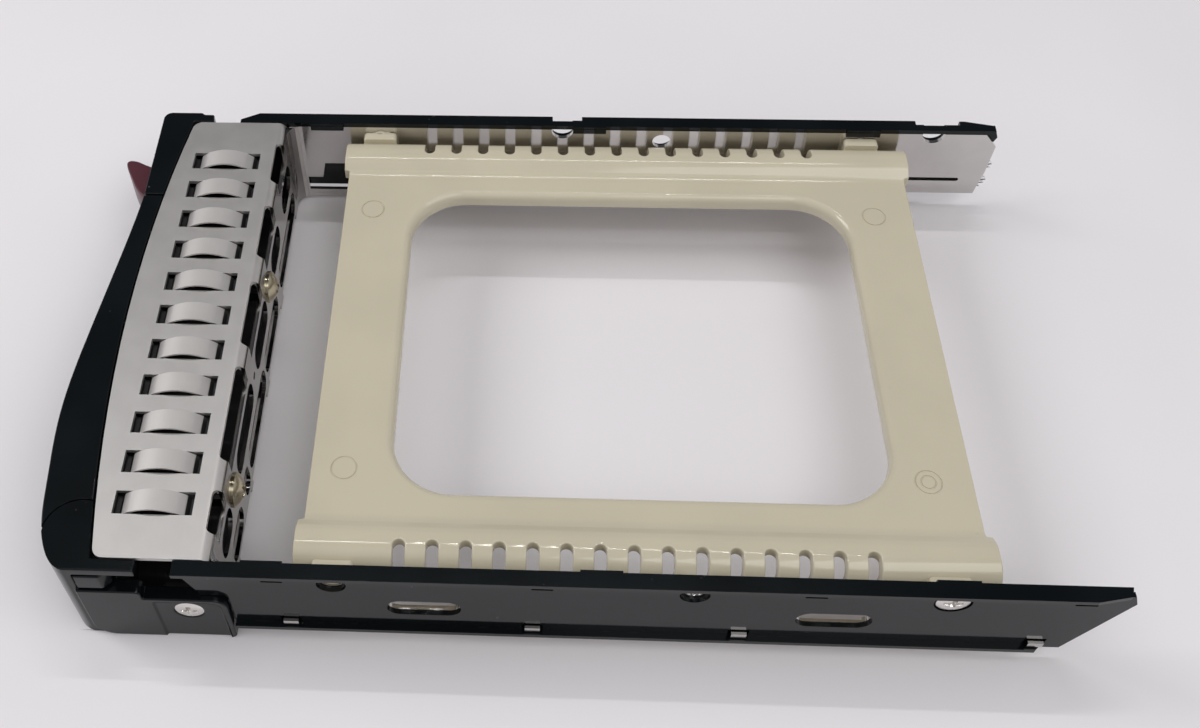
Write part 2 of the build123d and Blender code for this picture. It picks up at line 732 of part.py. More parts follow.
    # Sunk panel of the near lug, which leaves a raised rim
    with BuildSketch(side_plane(-rail_half_width + panel_sink)):
        with BuildLine():
            FilletPolyline(
                (lug_panel_front_x, -rim), (lug_panel_front_x, near_lug_top_z - rim),
                (lug_rear_x - rim, near_lug_top_z - rim), (lug_rear_x - rim, -rim),
                radius=[0, 0, lug_top_corner_r - rim / 2, 0], close=True)
        make_face()
    extrude(amount=panel_sink + 0.1, mode=Mode.SUBTRACT)
    # Window in the front wall for the fin, and one in the partition for the latch nose
    with BuildSketch(cross_plane(face_x - 0.1)):
        with Locations(((slot_low_y + slot_high_y) / 2, (button_bottom_z + button_top_z) / 2)):
            RectangleRounded(
                slot_high_y - slot_low_y, button_top_z - button_bottom_z - 2 * neck_step + 2 * slide_fit, 0.8)
    extrude(amount=bezel_wall + 0.2, mode=Mode.SUBTRACT)
    with BuildSketch(side_plane(housing_y + partition + 0.1)):
        with Locations((nose_x, (nose_bottom_z + nose_top_z) / 2)):
            Rectangle(nose_depth + 2 * slide_fit, nose_top_z - nose_bottom_z + 2 * slide_fit)
    extrude(amount=partition + 0.2, mode=Mode.SUBTRACT)

finish(front_bezel, "front_bezel")


# Handle lever: a curved channel open to the rear, with vents, ribs, two barrels and a cam
lever_top_z = tray_top_z
barrel_bottom_z = bezel_wall + skin_gap
barrel_top_z = skin_bottom_z - skin_gap
barrel_mid_z = (barrel_bottom_z + barrel_top_z) / 2
disc_gap = 0.25
link_start = 2.8
cam_reach_y = 6.9
cam_rear = 6.0
cam_front = -0.5
lever_limits = band(pivot_y, lever_end_y)
lever_region = (front_region(seam) & lever_limits) - pivot_disc(cap_r + disc_gap)
link_region = front_region(seam) & pivot_disc(cap_r + disc_gap + 0.5) & band(
    pivot_y + link_start, pivot_y + 2 * cap_r, face_x - 10.0, pivot_x + 0.6)

with BuildPart() as handle_lever:
    with BuildSketch(Plane.XY.offset(lever_bottom_z)):
        add(lever_region)
    extrude(amount=lever_top_z - lever_bottom_z)
    # Hollow behind the front wall, with the ribs left standing
    with BuildSketch(Plane.XY.offset(lever_bottom_z + lever_wall)):
        add(front_region(seam + 2.0).moved(Location((lever_wall, 0, 0))))
        add(band(pivot_y + cap_r, lever_end_y - lever_wall), mode=Mode.INTERSECT)
        for index in range(vent_count - 1):
            with Locations((shield_front_x, vent_first_y + (index + 0.5) * vent_pitch)):
                Rectangle(16.0, lever_rib, mode=Mode.SUBTRACT)
    extrude(amount=lever_top_z - lever_bottom_z - 2 * lever_wall, mode=Mode.SUBTRACT)
    # Vents through the front wall
    with BuildSketch(cross_plane(shield_front_x - 8.0)):
        for index in range(vent_count):
            with Locations((vent_first_y + index * vent_pitch, vent_z)):
                SlotOverall(vent_height, vent_width, rotation=90)
    extrude(amount=9.0, mode=Mode.SUBTRACT)
    # Barrels round the pin with a link to the front wall
    with BuildSketch(Plane.XY.offset(barrel_bottom_z)):
        with Locations((pivot_x, pivot_y)):
            Circle(knuckle_r)
        add(link_region)
    extrude(amount=barrel_top_z - barrel_bottom_z)
    # Cam at the near side of the upper barrel
    with BuildSketch(Plane.XY.offset(cam_bottom_z)):
        with BuildLine():
            Polyline(
                (pivot_x - cam_front, pivot_y), (pivot_x - cam_front, pivot_y - cam_reach_y + 0.8),
                (pivot_x, pivot_y - cam_reach_y), (pivot_x + cam_rear - 1.5, pivot_y - cam_reach_y),
                (pivot_x + cam_rear, pivot_y - cam_reach_y + 1.5), (pivot_x + 2.0, pivot_y),
                (pivot_x - cam_front, pivot_y))
        make_face()
    extrude(amount=barrel_top_z - cam_bottom_z)
    # Room for the torsion spring between the barrels
    with BuildSketch(Plane.XY.offset(barrel_mid_z - spring_room / 2)):
        with Locations((pivot_x, pivot_y)):
            Circle(knuckle_r + 0.6)
    extrude(amount=spring_room, mode=Mode.SUBTRACT)
    with BuildSketch(Plane.XY.offset(barrel_bottom_z)):
        with Locations((pivot_x, pivot_y)):
            Circle(pin_r + pin_clearance)
    extrude(amount=barrel_top_z - barrel_bottom_z, mode=Mode.SUBTRACT)
    # Pocket in the free end for the latch nose
    with BuildSketch(side_plane(lever_end_y)):
        with Locations((nose_x, (nose_bottom_z + nose_top_z) / 2)):
            Rectangle(nose_depth + 0.6, nose_top_z - nose_bottom_z + 0.6)
    extrude(amount=lever_wall / 2, mode=Mode.SUBTRACT)

finish(handle_lever, "handle_lever")

with BuildPart() as lever_pin:
    with BuildSketch(Plane.XY.offset(0.2)):
        with Locations((pivot_x, pivot_y)):
            Circle(pin_r)
    extrude(amount=tray_top_z - 0.6 - 0.2)
finish(lever_pin, "lever_pin")

spring_coil_r = pin_r + 0.25 + spring_wire_r
with BuildPart() as lever_spring:
    with BuildLine():
        coil = Helix(
            pitch=0.8, height=spring_room - 4 * spring_wire_r, radius=spring_coil_r,
            center=(pivot_x, pivot_y, barrel_mid_z - spring_room / 2 + 2 * spring_wire_r))
    with BuildSketch(Plane(origin=coil @ 0, z_dir=coil % 0)):
        Circle(spring_wire_r)
    sweep(path=coil)
finish(lever_spring, "lever_spring")


# Release button: fin outside, neck through the front wall, slider behind it and latch nose
slider_low_x = face_x + bezel_wall + slide_fit
slider_high_x = slider_low_x + slider_thickness
fin_back_x = face_x - skin_gap
nose_tip_y = lever_end_y + latch_gap
peg_r = 0.65
peg_length = 2.6
fin_rise_x = fin_back_x - 1.2
fin_low_y = slider_front_y + 1.9
fin_root_y = slider_rear_y - 2.0
fin_near = [(fin_rise_x - 2.6, slider_front_y + 4.0), (fin_rise_x - 5.0, slider_front_y + 8.2)]
fin_far = [(fin_tip_x + 1.3, fin_tip_y + 0.9), (fin_tip_x + 4.1, fin_tip_y - 0.2)]

with BuildPart() as release_button:
    with BuildSketch(Plane.XY.offset(button_bottom_z)):
        with BuildLine():
            Polyline((fin_back_x, fin_root_y), (fin_back_x, fin_low_y), (fin_rise_x, fin_low_y))
            Spline(
                (fin_rise_x, fin_low_y), *fin_near, (fin_tip_x, fin_tip_y), tangents=((-1, 0.5), (-0.25, 1)))
            Spline(
                (fin_tip_x, fin_tip_y), *fin_far, (fin_back_x, fin_root_y), tangents=((0.05, 1), (1, -0.5)))
        make_face()
    extrude(amount=button_top_z - button_bottom_z)
    with BuildSketch(cross_plane(fin_back_x - 0.5)):
        with Locations(((slider_front_y + slider_rear_y) / 2 + 1.0, (button_bottom_z + button_top_z) / 2)):
            Rectangle(slider_rear_y - slider_front_y - 2.2, button_top_z - button_bottom_z - 2 * neck_step)
    extrude(amount=slider_low_x - fin_back_x + 1.0)
    with BuildSketch(Plane.XY.offset(button_bottom_z)):
        with Locations(((slider_low_x + slider_high_x) / 2, (slider_front_y + slider_rear_y) / 2)):
            Rectangle(slider_thickness, slider_rear_y - slider_front_y)
    extrude(amount=button_top_z - button_bottom_z)
    with BuildSketch(side_plane(slider_front_y + 0.5)):
        with Locations((nose_x, (nose_bottom_z + nose_top_z) / 2)):
            Rectangle(nose_depth, nose_top_z - nose_bottom_z)
    extrude(amount=slider_front_y + 0.5 - nose_tip_y)
    with BuildSketch(side_plane(slider_rear_y + peg_length)):
        with Locations(((slider_low_x + slider_high_x) / 2, (button_bottom_z + button_top_z) / 2)):
            Circle(peg_r)
    extrude(amount=peg_length)
finish(release_button, "release_button")

button_spring_length = lug_inner_y - slider_rear_y - 2 * 0.35
with BuildPart() as button_spring:
    with BuildLine():
        spring_start = (
            (slider_low_x + slider_high_x) / 2, slider_rear_y + 0.35, (button_bottom_z + button_top_z) / 2)
        coil = Helix(
            pitch=1.1, height=button_spring_length, radius=button_spring_r, center=spring_start,
            direction=(0, 1, 0))
    with BuildSketch(Plane(origin=coil @ 0, z_dir=coil % 0)):
        Circle(0.25)
    sweep(path=coil)
finish(button_spring, "button_spring")


# Light pipes with prism ends
def make_pipe(middle_z):
    """Clear rod along the far rail, cut to teeth at its rear end."""
    low_z = middle_z - pipe_height / 2
    high_z = middle_z + pipe_height / 2
    with BuildPart() as pipe:
        with BuildSketch(side_plane(pipe_inner_y + pipe_depth)):
            with BuildLine():
                Polyline(
                    (pipe_front_x, low_z), (pipe_rear_x - 0.8, low_z), (pipe_rear_x - 2.0, middle_z - 0.4),
                    (pipe_rear_x - 0.2, middle_z - 0.2), (pipe_rear_x - 1.4, middle_z + 0.5),
                    (pipe_rear_x, high_z - 0.5), (pipe_rear_x - 0.4, high_z), (pipe_front_x, high_z),
                    (pipe_front_x, low_z))
            make_face()
        extrude(amount=pipe_depth)
    return pipe


upper_light_pipe = make_pipe(upper_pipe_z)
finish(upper_light_pipe, "upper_light_pipe")
lower_light_pipe = make_pipe(lower_pipe_z)
finish(lower_light_pipe, "lower_light_pipe")


# Screws
recess_r = 1.5
recess_bar = 0.6
recess_depth = 0.6


def flat_screw(side, x, z, head_face_y, head_r, shank_r, shank_end_y):
    """Flat head screw across the tray with a cross recess in its head."""
    with BuildPart() as screw:
        with BuildSketch(side_plane(side * head_face_y)):
            with Locations((x, z)):
                Circle(head_r)
        extrude(amount=side * head_height)
        with BuildSketch(side_plane(side * head_face_y)):
            with Locations((x, z)):
                Circle(shank_r)
        extrude(amount=side * (head_face_y - shank_end_y))
        with BuildSketch(side_plane(side * head_face_y)):
            with Locations((x, z)):
                Rectangle(2 * recess_r, recess_bar)
                Rectangle(recess_bar, 2 * recess_r)
        extrude(amount=side * recess_depth, mode=Mode.SUBTRACT)
    return screw.part


lug_screw_tip_y = plate_half_width - sheet - 2.0
blank_screw_tip_y = arm_inner_y - blank_screw_reach
blank_head_y = arm_outer_y + 0.02 + head_height
with BuildPart() as bezel_screws:
    for side, screw_z in ((1, far_screw_z), (-1, near_screw_z)):
        add(flat_screw(
            side, lug_screw_x, screw_z, rail_half_width - head_sink, lug_head_r, lug_screw_r,
            lug_screw_tip_y))
finish(bezel_screws, "bezel_screws")

with BuildPart() as blank_screws:
    for side in (1, -1):
        add(flat_screw(
            side, rear_hole_x, hole_z, blank_head_y, blank_head_r, blank_screw_r, blank_screw_tip_y))
finish(blank_screws, "blank_screws")

head_x = shield_rear_x + 0.02
brim = 0.35
shank_length = 9.0
dome_sphere_r = (dome_r ** 2 + (dome_height - brim) ** 2) / (2 * (dome_height - brim))
with BuildPart() as shield_screws:
    for y in shield_screw_y:
        with BuildSketch(Plane.XY.offset(shield_screw_z)):
            with BuildLine():
                Polyline(
                    (head_x + dome_height, y), (head_x - shank_length, y),
                    (head_x - shank_length, y + shield_screw_r), (head_x, y + shield_screw_r),
                    (head_x, y + dome_r), (head_x + brim, y + dome_r))
                RadiusArc((head_x + brim, y + dome_r), (head_x + dome_height, y), dome_sphere_r)
            make_face()
        revolve(axis=Axis((head_x, y, shield_screw_z), (1, 0, 0)))
finish(shield_screws, "shield_screws")


# Cream blank: one moulded shell with a raised crown along each side and a window
pad_face_y = arm_inner_y - pad_gap
crown_top_z = panel_top_z + crown_rise
with BuildPart() as drive_blank:
    with BuildSketch(cross_plane(blank_front_x)):
        with BuildLine():
            right = [
                (crown_foot_y, panel_top_z), (crown_foot_y + crown_slope, crown_top_z),
                (blank_half_width, crown_top_z), (blank_half_width, skirt_bottom_z)]
            left = [(-y, z) for y, z in reversed(right)]
            radii = [crown_outer_r, crown_step_r, crown_step_r, crown_step_r, crown_step_r, crown_outer_r]
            FilletPolyline(*left, *right, radius=radii)
            offset(amount=panel_wall, side=Side.RIGHT)
        make_face()
    extrude(amount=blank_rear_x - blank_front_x)
    # The panel ends a little inside the crowns
    with BuildSketch(Plane.XY.offset(skirt_bottom_z)):
        with Locations((blank_front_x, 0), (blank_rear_x, 0)):
            Rectangle(2 * panel_inset, 2 * (crown_foot_y + 0.6))
    extrude(amount=crown_top_z, mode=Mode.SUBTRACT)
    # Window with a lip below
    window_x = (window_front_x + window_rear_x) / 2
    window_length = window_rear_x - window_front_x
    with BuildSketch(Plane.XY.offset(panel_top_z - panel_wall - window_lip_drop)):
        with Locations((window_x, 0)):
            RectangleRounded(
                window_length + 2 * window_lip, 2 * (window_half_width + window_lip),
                window_corner_r + window_lip)
    extrude(amount=window_lip_drop + 0.2)
    with BuildSketch(Plane.XY.offset(skirt_bottom_z)):
        with Locations((window_x, 0)):
            RectangleRounded(window_length, 2 * window_half_width, window_corner_r)
    extrude(amount=crown_top_z, mode=Mode.SUBTRACT)
    top_edges = drive_blank.edges().filter_by_position(Axis.Z, panel_top_z - 0.01, panel_top_z + 0.01)
    rim_edges = [
        e for e in top_edges if abs(e.center().X - window_x) < window_length / 2 + 0.1
        and abs(e.center().Y) < window_half_width + 0.1]
    fillet(rim_edges, radius=window_round)
    # Side slots over the outer edge of the crowns
    with BuildSketch(Plane.XY.offset(slot_bottom_z)):
        for index in range(slot_count):
            slot_x = slot_first_x + index * slot_pitch
            for side in (1, -1):
                with Locations((slot_x, side * blank_half_width)):
                    SlotOverall(2 * slot_reach, slot_width, rotation=90)
    extrude(amount=crown_top_z, mode=Mode.SUBTRACT)
    # Pads that meet the arms, with a peg at the front and a screw hole at the rear
    pad_z = (pad_bottom_z + pad_top_z) / 2
    for side in (1, -1):
        with BuildSketch(side_plane(side * pad_face_y)):
            with Locations((front_hole_x, pad_z), (rear_hole_x, pad_z)):
                RectangleRounded(2 * pad_half_length, pad_top_z - pad_bottom_z, pad_root)
        extrude(amount=side * (pad_face_y - blank_half_width + pad_root))
        with BuildSketch(side_plane(side * (arm_outer_y - 0.1))):
            with Locations((front_hole_x, hole_z)):
                Circle(boss_hole_r - 0.1)
        extrude(amount=side * (arm_outer_y - 0.1 - pad_face_y + 0.5))
        with BuildSketch(side_plane(side * pad_face_y)):
            with Locations((rear_hole_x, hole_z)):
                Circle(blank_screw_r + screw_fit)
        extrude(amount=side * (pad_face_y - blank_screw_tip_y + 0.2), mode=Mode.SUBTRACT)
    # Faint round marks left by the mould
    with BuildSketch(Plane.XY.offset(panel_top_z)):
        for x in (front_hole_x, rear_hole_x):
            with Locations((x, mark_y), (x, -mark_y)):
                Circle(mark_r)
                Circle(mark_r - mark_line, mode=Mode.SUBTRACT)
        with Locations((rear_hole_x, -mark_y)):
            Circle(inner_mark_r)
            Circle(inner_mark_r - mark_line, mode=Mode.SUBTRACT)
    extrude(amount=-mark_depth, mode=Mode.SUBTRACT)
finish(drive_blank, "drive_blank")
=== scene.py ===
from math import radians, tau

import bmesh
import bpy
from bpy.props import FloatProperty, FloatVectorProperty, PointerProperty
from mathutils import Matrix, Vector


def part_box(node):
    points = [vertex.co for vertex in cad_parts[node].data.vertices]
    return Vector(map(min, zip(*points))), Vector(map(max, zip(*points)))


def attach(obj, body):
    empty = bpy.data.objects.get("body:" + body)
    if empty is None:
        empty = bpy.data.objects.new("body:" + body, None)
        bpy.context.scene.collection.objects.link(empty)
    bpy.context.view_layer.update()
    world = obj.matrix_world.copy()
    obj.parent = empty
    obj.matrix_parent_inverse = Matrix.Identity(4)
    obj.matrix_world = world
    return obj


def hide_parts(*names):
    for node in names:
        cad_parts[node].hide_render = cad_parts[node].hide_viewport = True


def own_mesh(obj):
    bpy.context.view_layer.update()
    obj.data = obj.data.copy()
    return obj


bl_info = {
    "name": "Hot Swap Drive Caddy",
    "version": (1, 0, 0),
    "blender": (4, 5, 0),
    "location": "3D View > Sidebar > Caddy",
    "description": "Finishes a drive caddy: sheet steel, mouldings, screws, springs and the stage",
    "category": "Add Mesh",
}

# Lengths are in metres, in the frame of the CAD nodes
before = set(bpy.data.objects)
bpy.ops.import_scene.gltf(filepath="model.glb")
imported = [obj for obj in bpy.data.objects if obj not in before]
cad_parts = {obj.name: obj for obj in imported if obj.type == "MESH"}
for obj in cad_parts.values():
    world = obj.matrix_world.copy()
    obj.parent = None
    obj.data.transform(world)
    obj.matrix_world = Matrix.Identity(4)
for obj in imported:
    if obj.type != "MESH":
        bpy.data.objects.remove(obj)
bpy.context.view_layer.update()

# Edges bent by more than this are softened, but not those of the ring marks on the blank and of the
# seam between the handle's cap and the bezel
HARD_EDGE = radians(32.0)
MARK_PLACES = [Vector((x, y, 0.0199)) for x in (-0.0384, 0.0632) for y in (-0.0304, 0.0304)]
MARK_REACH = 0.003
HINGE_PLACE = (-0.0815, -0.0465)
SEAM_REACH = 0.0068

# Finished meshes are shaded sharp past these bends
MOULDED_CREASE = radians(40.0)
GROWN_CREASE = radians(38.0)

# Copies of CAD meshes are merged within this reach, and their faces joined where they bend by less
MERGE_REACH = 0.000002
FLAT_BEND = radians(0.6)

# Rings and spokes of the grid that becomes a screw's head, and width of each bar of its recess
HEAD_RINGS = 44
HEAD_SPOKES = 121
RECESS_WIDTH = 0.0007

# Colours that no setting changes
# Painted shade: near-black colour put on the steel inside the shield's hollow
PAINTED_SHADE_STEEL = (0.008, 0.008, 0.009)
WIRE_STEEL = (0.55, 0.55, 0.56)
PIN_STEEL = (0.60, 0.60, 0.60)
WORN_BLACK = (0.02, 0.023, 0.024)
PALE_DUST = (0.42, 0.41, 0.40)
BROWN_DUST = (0.30, 0.26, 0.20)
HAZY_CLEAR = (0.86, 0.89, 0.90)
BRIGHT_CLEAR = (0.95, 0.96, 0.96)

# The room is paler above than at its foot, and nearly dark in one direction, which the steel mirrors
ROOM_FOOT = (0.75, 0.75, 0.79)
ROOM_TOP = (1.0, 0.99, 0.98)
ROOM_DARK = (0.12, 0.12, 0.13)
DARK_DIRECTION = Vector((-0.05, 0.55, 0.83))


# Settings that a user would change
class CaddyMetals(bpy.types.PropertyGroup):
    """Colours and finish of the metal pieces."""

    steel: FloatVectorProperty(
        name="Steel", description="Colour of the stainless sheet", subtype="COLOR",
        size=3, default=(0.61, 0.59, 0.575), min=0, max=1)
    brass: FloatVectorProperty(
        name="Brass", description="Colour of the domed screws", subtype="COLOR",
        size=3, default=(0.50, 0.45, 0.33), min=0, max=1)
    nickel: FloatVectorProperty(
        name="Nickel", description="Colour of the side and bezel screws", subtype="COLOR",
        size=3, default=(0.80, 0.77, 0.74), min=0, max=1)
    streak_depth: FloatProperty(
        name="Streak Depth", description="Depth of the rolling streaks in the sheet",
        default=0.000004, min=0, unit="LENGTH")


class CaddyPlastics(bpy.types.PropertyGroup):
    """Colours and edges of the moulded pieces."""

    black: FloatVectorProperty(
        name="Black", description="Colour of the rails, bezel and handle", subtype="COLOR",
        size=3, default=(0.0032, 0.0046, 0.0054), min=0, max=1)
    cream: FloatVectorProperty(
        name="Cream", description="Colour of the blank", subtype="COLOR",
        size=3, default=(0.575, 0.525, 0.40), min=0, max=1)
    maroon: FloatVectorProperty(
        name="Maroon", description="Colour of the release button", subtype="COLOR",
        size=3, default=(0.085, 0.020, 0.030), min=0, max=1)
    edge_width: FloatProperty(
        name="Edge Width", description="Width of the softened edges of the bezel, handle and button",
        default=0.00028, min=0, unit="LENGTH")
    cream_edge_width: FloatProperty(
        name="Cream Edge Width", description="Width of the softened edges of the blank",
        default=0.00025, min=0, unit="LENGTH")


class CaddyScrews(bpy.types.PropertyGroup):
    """Sizes of the screw heads."""

    side_head_radius: FloatProperty(
        name="Side Head Radius", description="Head radius of the two screws that hold the blank",
        default=0.00275, min=0, unit="LENGTH")
    lug_head_radius: FloatProperty(
        name="Lug Head Radius", description="Head radius of the two bezel screws",
        default=0.00255, min=0, unit="LENGTH")
    dome_radius: FloatProperty(
        name="Dome Radius", description="Head radius of the two domed screws in the wall",
        default=0.0032, min=0, unit="LENGTH")
    recess_depth: FloatProperty(
        name="Recess Depth", description="Depth of the cross recess",
        default=0.0008, min=0, unit="LENGTH")


class CaddyStage(bpy.types.PropertyGroup):
    """Floor, lamps and camera."""

    floor: FloatVectorProperty(
        name="Floor", description="Colour of the floor", subtype="COLOR",
        size=3, default=(0.83, 0.805, 0.83), min=0, max=1)
    sky: FloatProperty(
        name="Sky", description="Strength of the even light from all sides", default=0.60, min=0)
    key: FloatProperty(
        name="Key Lamp", description="Power of the lamp above the front end",
        default=4.4, min=0, unit="POWER")
    fill: FloatProperty(
        name="Fill Lamp", description="Power of the lamp above the near side",
        default=3.2, min=0, unit="POWER")
    strip: FloatProperty(
        name="Strip Lamp", description="Power of the long narrow lamp above the far side",
        default=2.2, min=0, unit="POWER")
    focal_length: FloatProperty(
        name="Focal Length", description="Focal length of the camera in millimetres",
        default=39.9, min=1)


# Node helpers
def add_node(tree, kind, inputs=None, **settings):
    """Add a node, set its options, and feed its inputs with values or with other nodes' outputs."""
    node = tree.nodes.new(kind)
    for key, value in settings.items():
        setattr(node, key, value)
    for name, value in (inputs or {}).items():
        socket = node.inputs[name]
        if isinstance(value, bpy.types.NodeSocket):
            tree.links.new(value, socket)
        else:
            socket.default_value = value
    return node


def maths(tree, operation, *values):
    """One Math node on as many values as its operation takes."""
    return add_node(tree, "ShaderNodeMath", dict(enumerate(values)), operation=operation).outputs[0]


def new_group(name, kind, inputs, outputs):
    """Empty node group with its named sockets, and its two end nodes."""
    tree = bpy.data.node_groups.new(name, kind)
    for socket_name, socket_kind, default in inputs:
        socket = tree.interface.new_socket(socket_name, in_out="INPUT", socket_type=socket_kind)
        if default is not None:
            socket.default_value = default
    for socket_name, socket_kind in outputs:
        tree.interface.new_socket(socket_name, in_out="OUTPUT", socket_type=socket_kind)
    return tree, tree.nodes.new("NodeGroupInput").outputs, tree.nodes.new("NodeGroupOutput").inputs


def ramp(tree, value, low, high, to_low=0.0, to_high=1.0):
    """Smooth change from one value to another as the input goes from low to high."""
    node = add_node(
        tree, "ShaderNodeMapRange", {0: value, 1: low, 2: high, 3: to_low, 4: to_high},
        interpolation_type="SMOOTHSTEP")
    return node.outputs[0]


def blended(tree, mask, first, second):
    """Value that goes from the first to the second as the mask rises."""
    return add_node(tree, "ShaderNodeMix", {0: mask, 2: first, 3: second}, data_type="FLOAT").outputs[0]


def mixed(tree, mask, first, second):
    """Colour that goes from the first to the second as the mask rises."""
    colours = [
        colour if isinstance(colour, bpy.types.NodeSocket) else (*colour, 1.0)
        for colour in (first, second)]
    node = add_node(tree, "ShaderNodeMix", {0: mask, 6: colours[0], 7: colours[1]}, data_type="RGBA")
    return node.outputs[2]


# Shader groups shared by the finishes
def make_streaks_group():
    """Fine lines drawn out in one direction, for rolled sheet and for plating."""
    tree, given, result = new_group(
        "rolling_streaks", "ShaderNodeTree",
        [("Vector", "NodeSocketVector", None), ("Stretch", "NodeSocketVector", (1, 1, 1)),
         ("Scale", "NodeSocketFloat", 1000.0)],
        [("Lines", "NodeSocketFloat"), ("Patches", "NodeSocketFloat")])
    stretched = add_node(
        tree, "ShaderNodeVectorMath", {0: given["Vector"], 1: given["Stretch"]}, operation="MULTIPLY")
    lines = add_node(
        tree, "ShaderNodeTexNoise",
        {"Vector": stretched.outputs[0], "Scale": given["Scale"], "Detail": 3.0, "Roughness": 0.6})
    patch_scale = maths(tree, "MULTIPLY", given["Scale"], 0.06)
    patches = add_node(
        tree, "ShaderNodeTexNoise", {"Vector": given["Vector"], "Scale": patch_scale, "Detail": 2.0})
    tree.links.new(lines.outputs["Fac"], result["Lines"])
    tree.links.new(patches.outputs["Fac"], result["Patches"])
    return tree


def make_wear_group():
    """Worn edges: where the rounded normal leaves the true one, broken up by noise."""
    tree, given, result = new_group(
        "edge_wear", "ShaderNodeTree",
        [("Vector", "NodeSocketVector", None), ("Radius", "NodeSocketFloat", 0.0004),
         ("Patchiness", "NodeSocketFloat", 0.5)],
        [("Mask", "NodeSocketFloat")])
    rounded = add_node(tree, "ShaderNodeBevel", {"Radius": given["Radius"]}, samples=4)
    geometry = add_node(tree, "ShaderNodeNewGeometry")
    likeness = add_node(
        tree, "ShaderNodeVectorMath", {0: rounded.outputs[0], 1: geometry.outputs["Normal"]},
        operation="DOT_PRODUCT")
    edge = ramp(tree, likeness.outputs["Value"], 0.985, 0.86)
    noise = add_node(tree, "ShaderNodeTexNoise", {"Vector": given["Vector"], "Scale": 420.0, "Detail": 4.0})
    kept = ramp(tree, noise.outputs["Fac"], given["Patchiness"], 0.75)
    tree.links.new(maths(tree, "MULTIPLY", edge, kept), result["Mask"])
    return tree


def make_dust_group():
    """Scattered specks of dust and lint."""
    tree, given, result = new_group(
        "dust_specks", "ShaderNodeTree",
        [("Vector", "NodeSocketVector", None), ("Scale", "NodeSocketFloat", 700.0),
         ("Amount", "NodeSocketFloat", 0.3)],
        [("Mask", "NodeSocketFloat")])
    cells = add_node(tree, "ShaderNodeTexVoronoi", {"Vector": given["Vector"], "Scale": given["Scale"]})
    speck = ramp(tree, cells.outputs["Distance"], 0.20, 0.06)
    pick = add_node(tree, "ShaderNodeTexNoise", {"Vector": given["Vector"], "Scale": 160.0, "Detail": 5.0})
    chosen = ramp(tree, pick.outputs["Fac"], 0.60, 0.72)
    amount = maths(tree, "MULTIPLY", maths(tree, "MULTIPLY", speck, chosen), given["Amount"])
    tree.links.new(amount, result["Mask"])
    return tree


def make_grain_group():
    """Fine moulded grain: a height for bump, and a small change of gloss and of colour."""
    tree, given, result = new_group(
        "moulded_grain", "ShaderNodeTree",
        [("Vector", "NodeSocketVector", None), ("Scale", "NodeSocketFloat", 2500.0),
         ("Base Roughness", "NodeSocketFloat", 0.3), ("Variation", "NodeSocketFloat", 0.1)],
        [("Height", "NodeSocketFloat"), ("Roughness", "NodeSocketFloat"), ("Cloud", "NodeSocketFloat")])
    grain = add_node(
        tree, "ShaderNodeTexNoise",
        {"Vector": given["Vector"], "Scale": given["Scale"], "Detail": 2.0, "Roughness": 0.5})
    cloud = add_node(tree, "ShaderNodeTexNoise", {"Vector": given["Vector"], "Scale": 45.0, "Detail": 3.0})
    centred = maths(tree, "SUBTRACT", cloud.outputs["Fac"], 0.5)
    change = maths(tree, "MULTIPLY", centred, given["Variation"])
    rough = maths(tree, "ADD", given["Base Roughness"], change)
    tree.links.new(grain.outputs["Fac"], result["Height"])
    tree.links.new(rough, result["Roughness"])
    tree.links.new(cloud.outputs["Fac"], result["Cloud"])
    return tree


def shared_group(name):
    """The named shader group, made the first time that a material asks for it."""
    makers = {
        "rolling_streaks": make_streaks_group,
        "edge_wear": make_wear_group,
        "dust_specks": make_dust_group,
        "moulded_grain": make_grain_group,
    }
    return bpy.data.node_groups.get(name) or makers[name]()


# Material helpers
def new_material(name, **shader_values):
    """Material with one Principled shader; returns it with its tree, shader and object coordinates."""
    material = bpy.data.materials.new(name)
    material.use_nodes = True
    tree = material.node_tree
    shader = tree.nodes["Principled BSDF"]
    for key, value in shader_values.items():
        shader.inputs[key.replace("_", " ")].default_value = value
    place = add_node(tree, "ShaderNodeTexCoord").outputs["Object"]
    return material, tree, shader, place


def use_group(tree, name, place, **values):
    """Outputs of a shared group that is placed in a material with its own values."""
    inputs = {"Vector": place}
    inputs.update({key.replace("_", " "): value for key, value in values.items()})
    return add_node(tree, "ShaderNodeGroup", inputs, node_tree=shared_group(name)).outputs


def bump(tree, shader, height, depth):
    """Bump from a height, fed to the shader's normal."""
    node = add_node(tree, "ShaderNodeBump", {"Height": height, "Distance": depth})
    tree.links.new(node.outputs[0], shader.inputs["Normal"])


